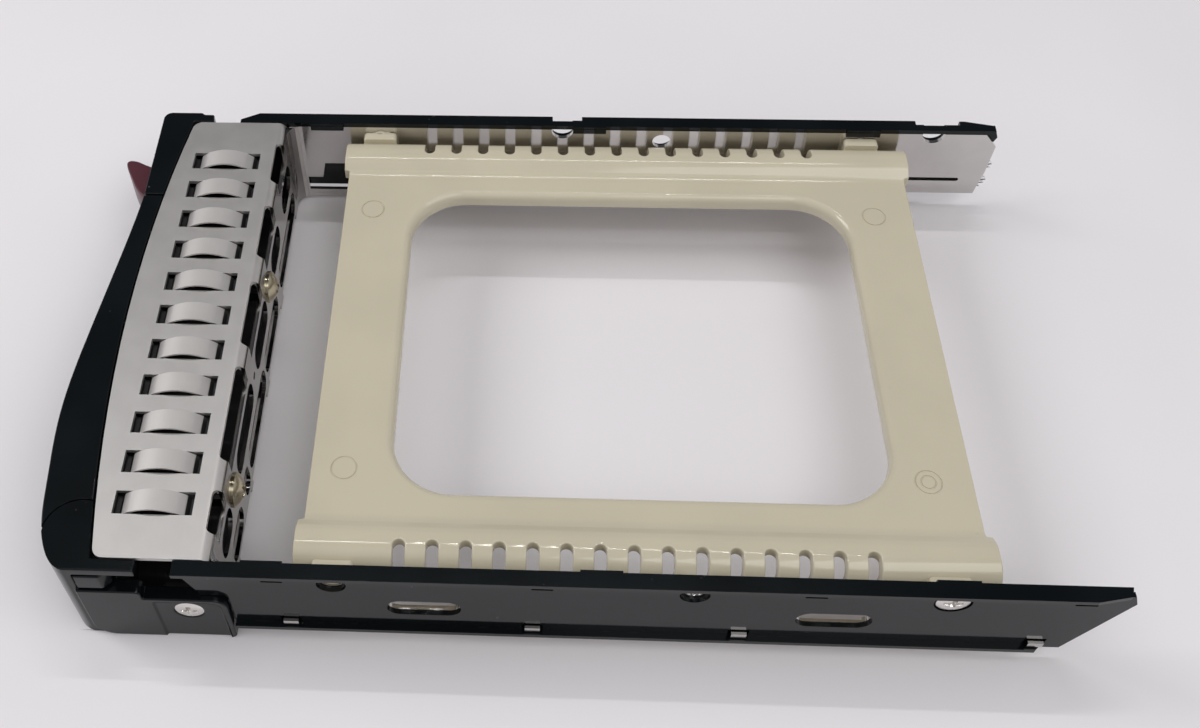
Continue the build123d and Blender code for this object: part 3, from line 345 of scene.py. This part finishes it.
# Materials
def sheet_zones(tree, place):
    """Masks over the folded sheet: its arms, its slotted wall, inside the shield, and the fingers; the wall
    and inside masks place painted shade.
    """
    arm_y = 0.0508
    hollow_z = 0.0118
    hollow_half_height = 0.0114
    hollow_rear_x = -0.0593
    hollow_half_width = 0.0535
    wall_x = -0.0580
    wall_reach = 0.0013
    wall_half_width = 0.0505
    finger_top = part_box("tray_frame")[1][2]
    finger_low = finger_top - 0.00135
    finger_high = finger_top - 0.0009

    parts = add_node(tree, "ShaderNodeSeparateXYZ", {0: place}).outputs
    off_middle = maths(tree, "ABSOLUTE", parts["Y"])
    arms = maths(tree, "GREATER_THAN", off_middle, arm_y)
    between_plates = maths(tree, "COMPARE", parts["Z"], hollow_z, hollow_half_height)
    before_wall = maths(tree, "LESS_THAN", parts["X"], hollow_rear_x)
    # Inside the shield's hollow, where the steel gets painted shade
    inside = maths(tree, "MULTIPLY", between_plates, before_wall)
    inside = maths(tree, "MULTIPLY", inside, maths(tree, "LESS_THAN", off_middle, hollow_half_width))
    at_wall = maths(tree, "COMPARE", parts["X"], wall_x, wall_reach)
    # On the slotted wall, where the steel gets painted shade
    wall = maths(tree, "MULTIPLY", between_plates, at_wall)
    wall = maths(tree, "MULTIPLY", wall, maths(tree, "LESS_THAN", off_middle, wall_half_width))
    fingers = ramp(tree, parts["Z"], finger_low, finger_high)
    return arms, wall, inside, fingers


def stainless_material(metals):
    """Rolled stainless sheet: dull plates, bright arms and wall, with painted shade darkening the wall's
    colour, and painted shade, dark and not metal, inside the shield.
    """
    # Painted shade: the slotted wall's colour is darkened in place of the dark reflection it shows
    painted_wall_shade = 0.6
    finger_roughness = 0.17
    streak_roughness = 0.10
    material, tree, shader, place = new_material("stainless_sheet")
    arms, wall, inside, fingers = sheet_zones(tree, place)
    across = use_group(tree, "rolling_streaks", place, Stretch=(1.0, 0.03, 1.0), Scale=4200.0)
    along = use_group(tree, "rolling_streaks", place, Stretch=(0.03, 1.0, 1.0), Scale=3000.0)
    lines = blended(tree, arms, across["Lines"], along["Lines"])
    dull = ramp(tree, across["Patches"], 0.3, 0.7, to_low=0.45, to_high=0.47)
    bright = ramp(tree, along["Patches"], 0.3, 0.7, to_low=0.10, to_high=0.17)
    rough = blended(tree, maths(tree, "MAXIMUM", arms, wall), dull, bright)
    rough = maths(tree, "ADD", rough, maths(tree, "MULTIPLY", fingers, finger_roughness))
    off_mean = maths(tree, "SUBTRACT", lines, 0.5)
    rough = maths(tree, "ADD", rough, maths(tree, "MULTIPLY", off_mean, streak_roughness))
    tree.links.new(rough, shader.inputs["Roughness"])
    steel = Vector(metals.steel)
    colour = mixed(tree, ramp(tree, across["Patches"], 0.35, 0.65), steel * 0.99, steel * 1.02)
    # Painted shade on the slotted wall: darker steel standing in for a dark reflection
    colour = mixed(tree, wall, colour, steel * painted_wall_shade)
    # Painted shade: the steel inside the shield is made near black
    colour = mixed(tree, inside, colour, PAINTED_SHADE_STEEL)
    tree.links.new(colour, shader.inputs["Base Color"])
    # The painted shade inside the shield is not metal, so it mirrors nothing
    tree.links.new(maths(tree, "SUBTRACT", 1.0, inside), shader.inputs["Metallic"])
    bump(tree, shader, lines, depth=metals.streak_depth)
    return material


def black_material(name, plastics, roughness):
    """Smooth black moulding with faint flow marks, dust and worn edges."""
    material, tree, shader, place = new_material(name, Specular_IOR_Level=0.27)
    grain = use_group(tree, "moulded_grain", place, Scale=1500.0, Base_Roughness=roughness, Variation=0.04)
    wear = use_group(tree, "edge_wear", place, Radius=0.0003, Patchiness=0.45)
    dust = use_group(tree, "dust_specks", place, Scale=650.0, Amount=0.14)
    black = Vector(plastics.black)
    base = mixed(tree, ramp(tree, grain["Cloud"], 0.35, 0.65), black, black * 1.5)
    worn = mixed(tree, wear["Mask"], base, WORN_BLACK)
    dusty = mixed(tree, dust["Mask"], worn, PALE_DUST)
    tree.links.new(dusty, shader.inputs["Base Color"])
    tree.links.new(grain["Roughness"], shader.inputs["Roughness"])
    bump(tree, shader, grain["Height"], depth=0.000004)
    return material


def cream_material(plastics):
    """Glossy cream moulding, very slightly mottled and uneven."""
    material, tree, shader, place = new_material("cream_plastic")
    grain = use_group(tree, "moulded_grain", place, Scale=1100.0, Base_Roughness=0.09, Variation=0.04)
    dust = use_group(tree, "dust_specks", place, Scale=420.0, Amount=0.10)
    cream = Vector(plastics.cream)
    base = mixed(tree, ramp(tree, grain["Cloud"], 0.35, 0.65), cream * 0.97, cream * 1.02)
    dusty = mixed(tree, dust["Mask"], base, BROWN_DUST)
    tree.links.new(dusty, shader.inputs["Base Color"])
    tree.links.new(grain["Roughness"], shader.inputs["Roughness"])
    bump(tree, shader, grain["Height"], depth=0.000003)
    return material


def maroon_material(plastics):
    """Satin maroon moulding with lightly rubbed edges."""
    material, tree, shader, place = new_material("maroon_plastic")
    grain = use_group(tree, "moulded_grain", place, Scale=1800.0, Base_Roughness=0.36, Variation=0.1)
    wear = use_group(tree, "edge_wear", place, Radius=0.0004, Patchiness=0.4)
    maroon = Vector(plastics.maroon)
    worn = mixed(tree, wear["Mask"], maroon, maroon * 2.2)
    tree.links.new(worn, shader.inputs["Base Color"])
    tree.links.new(grain["Roughness"], shader.inputs["Roughness"])
    bump(tree, shader, grain["Height"], depth=0.000004)
    return material


def plated_material(name, colour, roughness):
    """Plated or bright metal of the screws, pin and springs."""
    material, tree, shader, place = new_material(name, Metallic=1.0)
    streaks = use_group(tree, "rolling_streaks", place, Scale=2600.0)
    metal = Vector(colour)
    tint = mixed(tree, ramp(tree, streaks["Patches"], 0.35, 0.65), metal * 0.9, metal)
    tree.links.new(tint, shader.inputs["Base Color"])
    rough = ramp(tree, streaks["Lines"], 0.3, 0.7, roughness - 0.04, roughness + 0.06)
    tree.links.new(rough, shader.inputs["Roughness"])
    bump(tree, shader, streaks["Lines"], depth=0.000003)
    return material


def clear_material():
    """Clear plastic of the light pipes, with faint moulding haze."""
    material, tree, shader, place = new_material("clear_pipe", Transmission_Weight=1.0, IOR=1.49)
    grain = use_group(tree, "moulded_grain", place, Scale=900.0, Base_Roughness=0.10, Variation=0.15)
    tint = mixed(tree, ramp(tree, grain["Cloud"], 0.3, 0.7), HAZY_CLEAR, BRIGHT_CLEAR)
    tree.links.new(tint, shader.inputs["Base Color"])
    tree.links.new(grain["Roughness"], shader.inputs["Roughness"])
    return material


# Pieces and meshes
def set_material(piece, material):
    """Put one material in every slot of a piece."""
    if not piece.material_slots:
        piece.data.materials.append(material)
    for slot in piece.material_slots:
        slot.material = material


def new_piece(name, mesh, body, material, replaced):
    """Put a mesh in the scene as a piece that rides on a body, in the place of CAD nodes."""
    piece = bpy.data.objects.new(name, mesh)
    bpy.context.scene.collection.objects.link(piece)
    set_material(piece, material)
    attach(piece, body)
    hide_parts(*replaced)
    return piece


def new_carrier(name, mesh):
    """Object that carries a mesh through its modifiers until it is baked."""
    carrier = bpy.data.objects.new(name + "_carrier", mesh)
    bpy.context.scene.collection.objects.link(carrier)
    return carrier


def baked(carrier, name):
    """Plain mesh of a carrier with its modifiers applied; the carrier is removed."""
    depsgraph = bpy.context.evaluated_depsgraph_get()
    mesh = bpy.data.meshes.new_from_object(carrier.evaluated_get(depsgraph))
    bpy.data.objects.remove(carrier)
    mesh.name = name + "_shape"
    return mesh


def shade(mesh, crease):
    """Smooth shading, sharp where the faces bend by more than the crease."""
    mesh.polygons.foreach_set("use_smooth", [True] * len(mesh.polygons))
    mesh.set_sharp_from_angle(angle=crease)


def merged_copy(node):
    """Editable copy of a CAD node's mesh, with its loose triangles merged."""
    shape = bmesh.new()
    shape.from_mesh(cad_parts[node].data)
    bmesh.ops.remove_doubles(shape, verts=shape.verts, dist=MERGE_REACH)
    return shape


def softened_mesh(node, width, kept_spots=()):
    """Copy of a node's mesh with its hard edges rounded, apart from those near the kept spots."""
    shape = merged_copy(node)
    bmesh.ops.dissolve_limit(
        shape, angle_limit=FLAT_BEND, verts=shape.verts, edges=shape.edges, use_dissolve_boundaries=False)
    hard = [
        edge for edge in shape.edges
        if edge.is_manifold and edge.calc_face_angle() > HARD_EDGE
        and not any((edge.verts[0].co - spot).length < reach for spot, reach in kept_spots)]
    bmesh.ops.bevel(
        shape, geom=hard, offset=width, offset_type="OFFSET", segments=2, profile=0.5, affect="EDGES",
        clamp_overlap=False, miter_outer="ARC")

    # No corner of a bevel may reach out of the node's own box
    low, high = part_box(node)
    for vertex in shape.verts:
        vertex.co = [min(max(value, least), most) for value, least, most in zip(vertex.co, low, high)]

    mesh = bpy.data.meshes.new(node + "_copy")
    shape.to_mesh(mesh)
    shape.free()
    shade(mesh, MOULDED_CREASE)
    carrier = new_carrier(node, mesh)
    evened = carrier.modifiers.new("even_faces", "WEIGHTED_NORMAL")
    evened.keep_sharp = True
    evened.weight = 100
    return baked(carrier, node)


def soften(node, body, material, width, kept_spots=()):
    """Replace a moulded node by its copy with softened edges."""
    mesh = softened_mesh(node, width, kept_spots)
    return new_piece(node + "_moulded", mesh, body, material, (node,))


def node_islands(node):
    """Centre and box of each separate solid in a node's mesh, from the near side to the far."""
    shape = merged_copy(node)
    left = set(shape.verts)
    islands = []
    while left:
        waiting = [left.pop()]
        found = []
        while waiting:
            vert = waiting.pop()
            found.append(vert.co.copy())
            for edge in vert.link_edges:
                other = edge.other_vert(vert)
                if other in left:
                    left.remove(other)
                    waiting.append(other)
        low = Vector([min(co[i] for co in found) for i in range(3)])
        high = Vector([max(co[i] for co in found) for i in range(3)])
        islands.append(((low + high) / 2, low, high))
    shape.free()
    return sorted(islands, key=lambda island: island[0].y)


def side_places(node, head_height):
    """Where the heads of a pair of side screws sit on their shanks, and the way that each faces."""
    low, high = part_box(node)
    places = []
    for centre, island_low, island_high in node_islands(node):
        outward = 1.0 if centre.y > (low[1] + high[1]) / 2 else -1.0
        face_y = island_high.y if outward > 0 else island_low.y
        places.append(((centre.x, face_y - outward * head_height, centre.z), (0.0, outward, 0.0)))
    return places


# Geometry Nodes trees
def joined(tree, *shapes):
    """Several shapes as one geometry."""
    join = add_node(tree, "GeometryNodeJoinGeometry")
    for shape in shapes:
        tree.links.new(shape, join.inputs[0])
    return join.outputs[0]


def moved_up(tree, shape, distance):
    """A shape moved along Z."""
    offset = add_node(tree, "ShaderNodeCombineXYZ", {2: distance}).outputs[0]
    moved = add_node(tree, "GeometryNodeTransform", {"Geometry": shape, "Translation": offset})
    return moved.outputs[0]


def put_on_points(tree, given, result, shape):
    """Put a shape on every point, turned its way, as real geometry in its finish."""
    facing = add_node(
        tree, "GeometryNodeInputNamedAttribute", {"Name": "facing"}, data_type="FLOAT_VECTOR")
    turned = add_node(tree, "FunctionNodeAlignRotationToVector", {"Vector": facing.outputs[0]}, axis="Z")
    placed = add_node(
        tree, "GeometryNodeInstanceOnPoints",
        {"Points": given["Geometry"], "Instance": shape, "Rotation": turned.outputs[0]})
    real = add_node(tree, "GeometryNodeRealizeInstances", {"Geometry": placed.outputs[0]})
    finished = add_node(
        tree, "GeometryNodeSetMaterial", {"Geometry": real.outputs[0], "Material": given["Finish"]})
    tree.links.new(finished.outputs[0], result["Geometry"])


def cross_recess(tree, given, x, y):
    """Depth of the cross recess at a spot on the head: two bars with sloping walls and ends."""
    wall_outside = 1.2
    wall_inside = 0.8
    end_inside = 0.6
    off_x = maths(tree, "ABSOLUTE", x)
    off_y = maths(tree, "ABSOLUTE", y)
    half_bar = maths(tree, "MULTIPLY", given["Recess Width"], 0.5)
    bar = ramp(
        tree, maths(tree, "MINIMUM", off_x, off_y),
        maths(tree, "MULTIPLY", half_bar, wall_outside), maths(tree, "MULTIPLY", half_bar, wall_inside))
    end = ramp(
        tree, maths(tree, "MAXIMUM", off_x, off_y),
        given["Recess Radius"], maths(tree, "MULTIPLY", given["Recess Radius"], end_inside))
    return maths(tree, "MULTIPLY", maths(tree, "MULTIPLY", bar, end), given["Recess Depth"])


def screw_top(tree, given):
    """Crowned top of a head with its recess, made from a grid bent round to a disc."""
    grid = add_node(
        tree, "GeometryNodeMeshGrid",
        {"Size X": 1.0, "Size Y": 1.0, "Vertices X": HEAD_RINGS, "Vertices Y": HEAD_SPOKES})
    position = add_node(tree, "GeometryNodeInputPosition").outputs[0]
    spot = add_node(tree, "ShaderNodeSeparateXYZ", {0: position}).outputs
    share = maths(tree, "ADD", spot["X"], 0.5)
    turn = maths(tree, "MULTIPLY", maths(tree, "ADD", spot["Y"], 0.5), tau)
    radius = maths(tree, "MULTIPLY", share, given["Head Radius"])
    x = maths(tree, "MULTIPLY", radius, maths(tree, "COSINE", turn))
    y = maths(tree, "MULTIPLY", radius, maths(tree, "SINE", turn))
    drop = maths(tree, "POWER", share, given["Crown Power"])
    crown = maths(tree, "MULTIPLY", given["Crown Height"], maths(tree, "SUBTRACT", 1.0, drop))
    crowned = maths(tree, "ADD", given["Brim Height"], crown)
    height = maths(tree, "SUBTRACT", crowned, cross_recess(tree, given, x, y))
    place = add_node(tree, "ShaderNodeCombineXYZ", {0: x, 1: y, 2: height}).outputs[0]
    top = add_node(tree, "GeometryNodeSetPosition", {"Geometry": grid.outputs["Mesh"], "Position": place})
    return top.outputs[0]


def make_screw_tree():
    """Screws on points: each has a crowned head with a cross recess, and a shank."""
    tree, given, result = new_group(
        "screws_on_points", "GeometryNodeTree",
        [("Geometry", "NodeSocketGeometry", None), ("Head Radius", "NodeSocketFloat", 0.0027),
         ("Brim Height", "NodeSocketFloat", 0.0008), ("Crown Height", "NodeSocketFloat", 0.0003),
         ("Crown Power", "NodeSocketFloat", 6.0), ("Shank Radius", "NodeSocketFloat", 0.00145),
         ("Shank Length", "NodeSocketFloat", 0.004), ("Recess Radius", "NodeSocketFloat", 0.0016),
         ("Recess Width", "NodeSocketFloat", RECESS_WIDTH), ("Recess Depth", "NodeSocketFloat", 0.0008),
         ("Finish", "NodeSocketMaterial", None)],
        [("Geometry", "NodeSocketGeometry")])
    top = screw_top(tree, given)

    # Brim and underside of the head, on as many sides as the top's rim
    rim_sides = HEAD_SPOKES - 1
    brim = add_node(
        tree, "GeometryNodeMeshCylinder",
        {"Vertices": rim_sides, "Radius": given["Head Radius"], "Depth": given["Brim Height"]},
        fill_type="NONE")
    raised = moved_up(tree, brim.outputs["Mesh"], maths(tree, "MULTIPLY", given["Brim Height"], 0.5))
    under = add_node(
        tree, "GeometryNodeMeshCircle", {"Vertices": rim_sides, "Radius": given["Head Radius"]},
        fill_type="NGON")
    under_down = add_node(tree, "GeometryNodeFlipFaces", {"Mesh": under.outputs[0]}).outputs[0]

    # Shank below the head
    shank_sides = 32
    shank = add_node(
        tree, "GeometryNodeMeshCylinder",
        {"Vertices": shank_sides, "Radius": given["Shank Radius"], "Depth": given["Shank Length"]},
        fill_type="NGON")
    lowered = moved_up(tree, shank.outputs["Mesh"], maths(tree, "MULTIPLY", given["Shank Length"], -0.5))

    # The head's three parts are closed along the rim, and the shank stays a shape of its own
    rim_reach = 0.000005
    head = joined(tree, under_down, raised, top)
    closed = add_node(tree, "GeometryNodeMergeByDistance", {"Geometry": head, "Distance": rim_reach})
    put_on_points(tree, given, result, joined(tree, lowered, closed.outputs[0]))
    return tree


def make_coil_tree():
    """Coil springs on points, each along its own way, from a spiral and a round wire."""
    tree, given, result = new_group(
        "coil_spring", "GeometryNodeTree",
        [("Geometry", "NodeSocketGeometry", None), ("Coil Radius", "NodeSocketFloat", 0.001),
         ("Wire Radius", "NodeSocketFloat", 0.00025), ("Length", "NodeSocketFloat", 0.005),
         ("Turns", "NodeSocketFloat", 5.0), ("Finish", "NodeSocketMaterial", None)],
        [("Geometry", "NodeSocketGeometry")])
    spiral = add_node(
        tree, "GeometryNodeCurveSpiral",
        {"Resolution": 28, "Rotations": given["Turns"], "Start Radius": given["Coil Radius"],
         "End Radius": given["Coil Radius"], "Height": given["Length"]})
    wire = add_node(
        tree, "GeometryNodeCurvePrimitiveCircle", {"Resolution": 12, "Radius": given["Wire Radius"]})
    swept = add_node(
        tree, "GeometryNodeCurveToMesh",
        {"Curve": spiral.outputs[0], "Profile Curve": wire.outputs[0], "Fill Caps": True})
    put_on_points(tree, given, result, swept.outputs[0])
    return tree


def shared_tree(name):
    """The named geometry tree, made the first time that a piece asks for it."""
    makers = {"screws_on_points": make_screw_tree, "coil_spring": make_coil_tree}
    return bpy.data.node_groups.get(name) or makers[name]()


def grown(name, tree, places, values):
    """Mesh that a tree grows on points, each with the direction it faces."""
    mesh = bpy.data.meshes.new(name + "_points")
    mesh.from_pydata([place for place, direction in places], [], [])
    facing = mesh.attributes.new("facing", "FLOAT_VECTOR", "POINT")
    for index, (place, direction) in enumerate(places):
        facing.data[index].vector = direction
    carrier = new_carrier(name, mesh)
    growth = carrier.modifiers.new("growth", "NODES")
    growth.node_group = tree
    for item in tree.interface.items_tree:
        if item.item_type == "SOCKET" and item.in_out == "INPUT" and item.name in values:
            growth[item.identifier] = values[item.name]
    result = baked(carrier, name)
    shade(result, GROWN_CREASE)
    return result


# Operators
class CADDY_OT_sheet_metal(bpy.types.Operator):
    """Finish the folded stainless frame"""

    bl_idname = "caddy.sheet_metal"
    bl_label = "Sheet Metal"

    def execute(self, context):
        set_material(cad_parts["tray_frame"], stainless_material(context.scene.caddy_metals))
        return {"FINISHED"}


class CADDY_OT_black_mouldings(bpy.types.Operator):
    """Soften the bezel and the handle, and finish them and both rails"""

    bl_idname = "caddy.black_mouldings"
    bl_label = "Black Mouldings"

    def execute(self, context):
        plastics = context.scene.caddy_plastics
        roughness = {"black_bezel": 0.16, "black_handle": 0.18, "black_rail": 0.10}
        finishes = {slot: black_material(slot, plastics, value) for slot, value in roughness.items()}
        seam = Vector((*HINGE_PLACE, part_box("handle_lever")[1][2]))
        softened = (("front_bezel", "tray", "black_bezel"), ("handle_lever", "handle", "black_handle"))
        for node, body, slot in softened:
            soften(node, body, finishes[slot], plastics.edge_width, [(seam, SEAM_REACH)])
        for node in ("left_rail", "right_rail"):
            set_material(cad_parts[node], finishes["black_rail"])
        return {"FINISHED"}


class CADDY_OT_blank(bpy.types.Operator):
    """Soften and finish the cream blank"""

    bl_idname = "caddy.blank"
    bl_label = "Cream Blank"

    def execute(self, context):
        plastics = context.scene.caddy_plastics
        marks = [(place, MARK_REACH) for place in MARK_PLACES]
        cream = cream_material(plastics)
        soften("drive_blank", "tray", cream, plastics.cream_edge_width, marks)
        return {"FINISHED"}


class CADDY_OT_button(bpy.types.Operator):
    """Soften and finish the release button"""

    bl_idname = "caddy.button"
    bl_label = "Release Button"

    def execute(self, context):
        plastics = context.scene.caddy_plastics
        maroon = maroon_material(plastics)
        soften("release_button", "button", maroon, plastics.edge_width)
        return {"FINISHED"}


class CADDY_OT_light_pipes(bpy.types.Operator):
    """Finish the two clear light pipes"""

    bl_idname = "caddy.light_pipes"
    bl_label = "Light Pipes"

    def execute(self, context):
        clear = clear_material()
        for node in ("upper_light_pipe", "lower_light_pipe"):
            set_material(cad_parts[node], clear)
        return {"FINISHED"}


class CADDY_OT_screws(bpy.types.Operator):
    """Grow the detailed screws on the places of the plain ones"""

    bl_idname = "caddy.screws"
    bl_label = "Screws"

    def execute(self, context):
        sizes = context.scene.caddy_screws
        metals = context.scene.caddy_metals
        nickel = plated_material("nickel_screw", metals.nickel, roughness=0.20)
        brass = plated_material("brass_screw", metals.brass, roughness=0.16)
        self.side_screws("bezel_screws", sizes.lug_head_radius, sizes.recess_depth, nickel)
        self.side_screws("blank_screws", sizes.side_head_radius, sizes.recess_depth, nickel)
        self.domed_screws(sizes.dome_radius, sizes.recess_depth, brass)
        return {"FINISHED"}

    def side_screws(self, node, head_radius, recess_depth, finish):
        """A pair of flat, barely crowned screws on shanks as long as the plain ones."""
        brim = 0.0008
        crown = 0.0003
        head_height = brim + crown
        recess_share = 0.62
        low, high = node_islands(node)[0][1:]
        values = {
            "Head Radius": head_radius, "Brim Height": brim, "Crown Height": crown, "Crown Power": 5.0,
            "Shank Radius": 0.00145, "Shank Length": high.y - low.y - head_height,
            "Recess Radius": head_radius * recess_share, "Recess Width": RECESS_WIDTH,
            "Recess Depth": recess_depth, "Finish": finish}
        mesh = grown(node, shared_tree("screws_on_points"), side_places(node, head_height), values)
        new_piece(node + "_detailed", mesh, "tray", finish, (node,))

    def domed_screws(self, head_radius, recess_depth, finish):
        """The two domed screws in the slotted wall, which face the rear."""
        brim = 0.00035
        crown = 0.00155
        head_height = brim + crown
        places = [
            ((high.x - head_height, centre.y, centre.z), (1.0, 0.0, 0.0))
            for centre, low, high in node_islands("shield_screws")]
        values = {
            "Head Radius": head_radius, "Brim Height": brim, "Crown Height": crown, "Crown Power": 2.2,
            "Shank Radius": 0.0015, "Shank Length": 0.009, "Recess Radius": 0.0015,
            "Recess Width": RECESS_WIDTH, "Recess Depth": recess_depth, "Finish": finish}
        mesh = grown("shield_screws", shared_tree("screws_on_points"), places, values)
        new_piece("shield_screws_detailed", mesh, "tray", finish, ("shield_screws",))


class CADDY_OT_springs(bpy.types.Operator):
    """Grow the two springs and finish the hinge pin"""

    bl_idname = "caddy.springs"
    bl_label = "Springs and Pin"

    def execute(self, context):
        wire = plated_material("spring_wire", WIRE_STEEL, roughness=0.22)
        pin = plated_material("steel_pin", PIN_STEEL, roughness=0.18)
        set_material(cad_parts["lever_pin"], pin)
        self.spring("lever_spring", along=2, wire_radius=0.0003, turns=6.0, finish=wire)
        coil = self.spring("button_spring", along=1, wire_radius=0.00025, turns=4.5, finish=wire)
        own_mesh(coil)
        return {"FINISHED"}

    def spring(self, node, along, wire_radius, turns, finish):
        """A coil that fills its node's box and lies along axis 0, 1 or 2 for X, Y or Z."""
        low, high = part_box(node)
        across = (along + 1) % 3
        start = (Vector(low) + Vector(high)) / 2
        start[along] = low[along] + wire_radius
        direction = Vector((0.0, 0.0, 0.0))
        direction[along] = 1.0
        values = {
            "Coil Radius": (high[across] - low[across]) / 2 - wire_radius, "Wire Radius": wire_radius,
            "Length": high[along] - low[along] - 2 * wire_radius, "Turns": turns, "Finish": finish}
        mesh = grown(node, shared_tree("coil_spring"), [(tuple(start), tuple(direction))], values)
        return new_piece(node + "_coil", mesh, "tray", finish, (node,))


class CADDY_OT_stage(bpy.types.Operator):
    """Set the floor, the lamps and the camera"""

    bl_idname = "caddy.stage"
    bl_label = "Stage"

    def execute(self, context):
        settings = context.scene.caddy_stage
        self.floor(settings)
        self.light(context.scene, settings)
        self.camera(context.scene, settings)
        return {"FINISHED"}

    def floor(self, settings):
        """Plain pale table, a hair below the caddy."""
        reach = 3.0
        drop = 0.00002
        material, tree, shader, place = new_material("floor", Roughness=0.6, Specular_IOR_Level=0.25)
        cloud = add_node(tree, "ShaderNodeTexNoise", {"Vector": place, "Scale": 9.0, "Detail": 3.0})
        pale = Vector(settings.floor)
        tint = mixed(tree, ramp(tree, cloud.outputs["Fac"], 0.3, 0.7), pale * 0.98, pale * 1.02)
        tree.links.new(tint, shader.inputs["Base Color"])
        corners = [(-reach, -reach, 0), (reach, -reach, 0), (reach, reach, 0), (-reach, reach, 0)]
        mesh = bpy.data.meshes.new("floor")
        mesh.from_pydata(corners, [], [(0, 1, 2, 3)])
        floor = bpy.data.objects.new("floor", mesh)
        bpy.context.scene.collection.objects.link(floor)
        floor.location.z = -drop
        set_material(floor, material)

    def light(self, scene, settings):
        """Soft room with one dark patch, and three lamps aimed at the caddy."""
        world = bpy.data.worlds.new("soft_room")
        scene.world = world
        world.use_nodes = True
        tree = world.node_tree
        background = tree.nodes["Background"]
        direction = add_node(tree, "ShaderNodeTexCoord").outputs["Generated"]
        up = add_node(tree, "ShaderNodeSeparateXYZ", {0: direction}).outputs["Z"]
        pale = mixed(tree, ramp(tree, up, 0.0, 0.9), ROOM_FOOT, ROOM_TOP)
        toward_dark = add_node(
            tree, "ShaderNodeVectorMath", {0: direction, 1: DARK_DIRECTION.normalized()},
            operation="DOT_PRODUCT")
        patch = ramp(tree, toward_dark.outputs["Value"], 0.70, 0.88)
        tree.links.new(mixed(tree, patch, pale, ROOM_DARK), background.inputs["Color"])
        background.inputs["Strength"].default_value = settings.sky
        self.lamp(scene, "key_lamp", settings.key, place=(-0.85, 0.15, 0.80), length=0.5, width=0.5)
        self.lamp(scene, "fill_lamp", settings.fill, place=(0.45, -0.35, 1.0), length=0.9, width=0.5)
        self.lamp(scene, "strip_lamp", settings.strip, place=(0.0, 0.40, 1.24), length=0.72, width=0.02)

    def lamp(self, scene, name, power, place, length, width):
        """Flat lamp that faces the middle of the caddy's footprint."""
        lamp = bpy.data.lights.new(name, "AREA")
        lamp.shape = "RECTANGLE"
        lamp.size = length
        lamp.size_y = width
        lamp.energy = power
        lamp_object = bpy.data.objects.new(name, lamp)
        scene.collection.objects.link(lamp_object)
        lamp_object.location = place
        lamp_object.rotation_euler = (-Vector(place)).to_track_quat("-Z", "Y").to_euler()

    def camera(self, scene, settings):
        """Camera fitted to the holes and edges of the near rail."""
        camera = bpy.data.cameras.new("camera")
        camera.sensor_width = 36.0
        camera.lens = settings.focal_length
        camera.shift_x = 0.1177
        camera.shift_y = -0.0989
        camera.clip_start = 0.01
        camera_object = bpy.data.objects.new("camera", camera)
        scene.collection.objects.link(camera_object)
        camera_object.location = (-0.0075, -0.14921, 0.22484)
        camera_object.rotation_euler = (radians(39.786), radians(1.514), radians(2.501))
        scene.camera = camera_object
        scene.view_settings.view_transform = "Standard"


class CADDY_PT_panel(bpy.types.Panel):
    """Lists the steps that finish the caddy, and their settings"""

    bl_label = "Hot Swap Drive Caddy"
    bl_space_type = "VIEW_3D"
    bl_region_type = "UI"
    bl_category = "Caddy"

    def draw(self, context):
        for step in STEPS:
            self.layout.operator(step.bl_idname)
        for group in GROUPS:
            settings = getattr(context.scene, group)
            box = self.layout.box()
            for key in settings.__annotations__:
                box.prop(settings, key)


STEPS = (
    CADDY_OT_stage, CADDY_OT_sheet_metal, CADDY_OT_black_mouldings, CADDY_OT_blank, CADDY_OT_button,
    CADDY_OT_light_pipes, CADDY_OT_screws, CADDY_OT_springs)
GROUPS = {
    "caddy_metals": CaddyMetals, "caddy_plastics": CaddyPlastics, "caddy_screws": CaddyScrews,
    "caddy_stage": CaddyStage}


def register():
    for group in GROUPS.values():
        bpy.utils.register_class(group)
    for step in (*STEPS, CADDY_PT_panel):
        bpy.utils.register_class(step)
    for name, group in GROUPS.items():
        setattr(bpy.types.Scene, name, PointerProperty(type=group))


def unregister():
    for name in GROUPS:
        delattr(bpy.types.Scene, name)
    for cls in (CADDY_PT_panel, *STEPS, *GROUPS.values()):
        bpy.utils.unregister_class(cls)


def main():
    """Make every piece in order."""
    register()
    for step in STEPS:
        area, name = step.bl_idname.split(".")
        getattr(getattr(bpy.ops, area), name)()


if __name__ == "__main__":
    main()
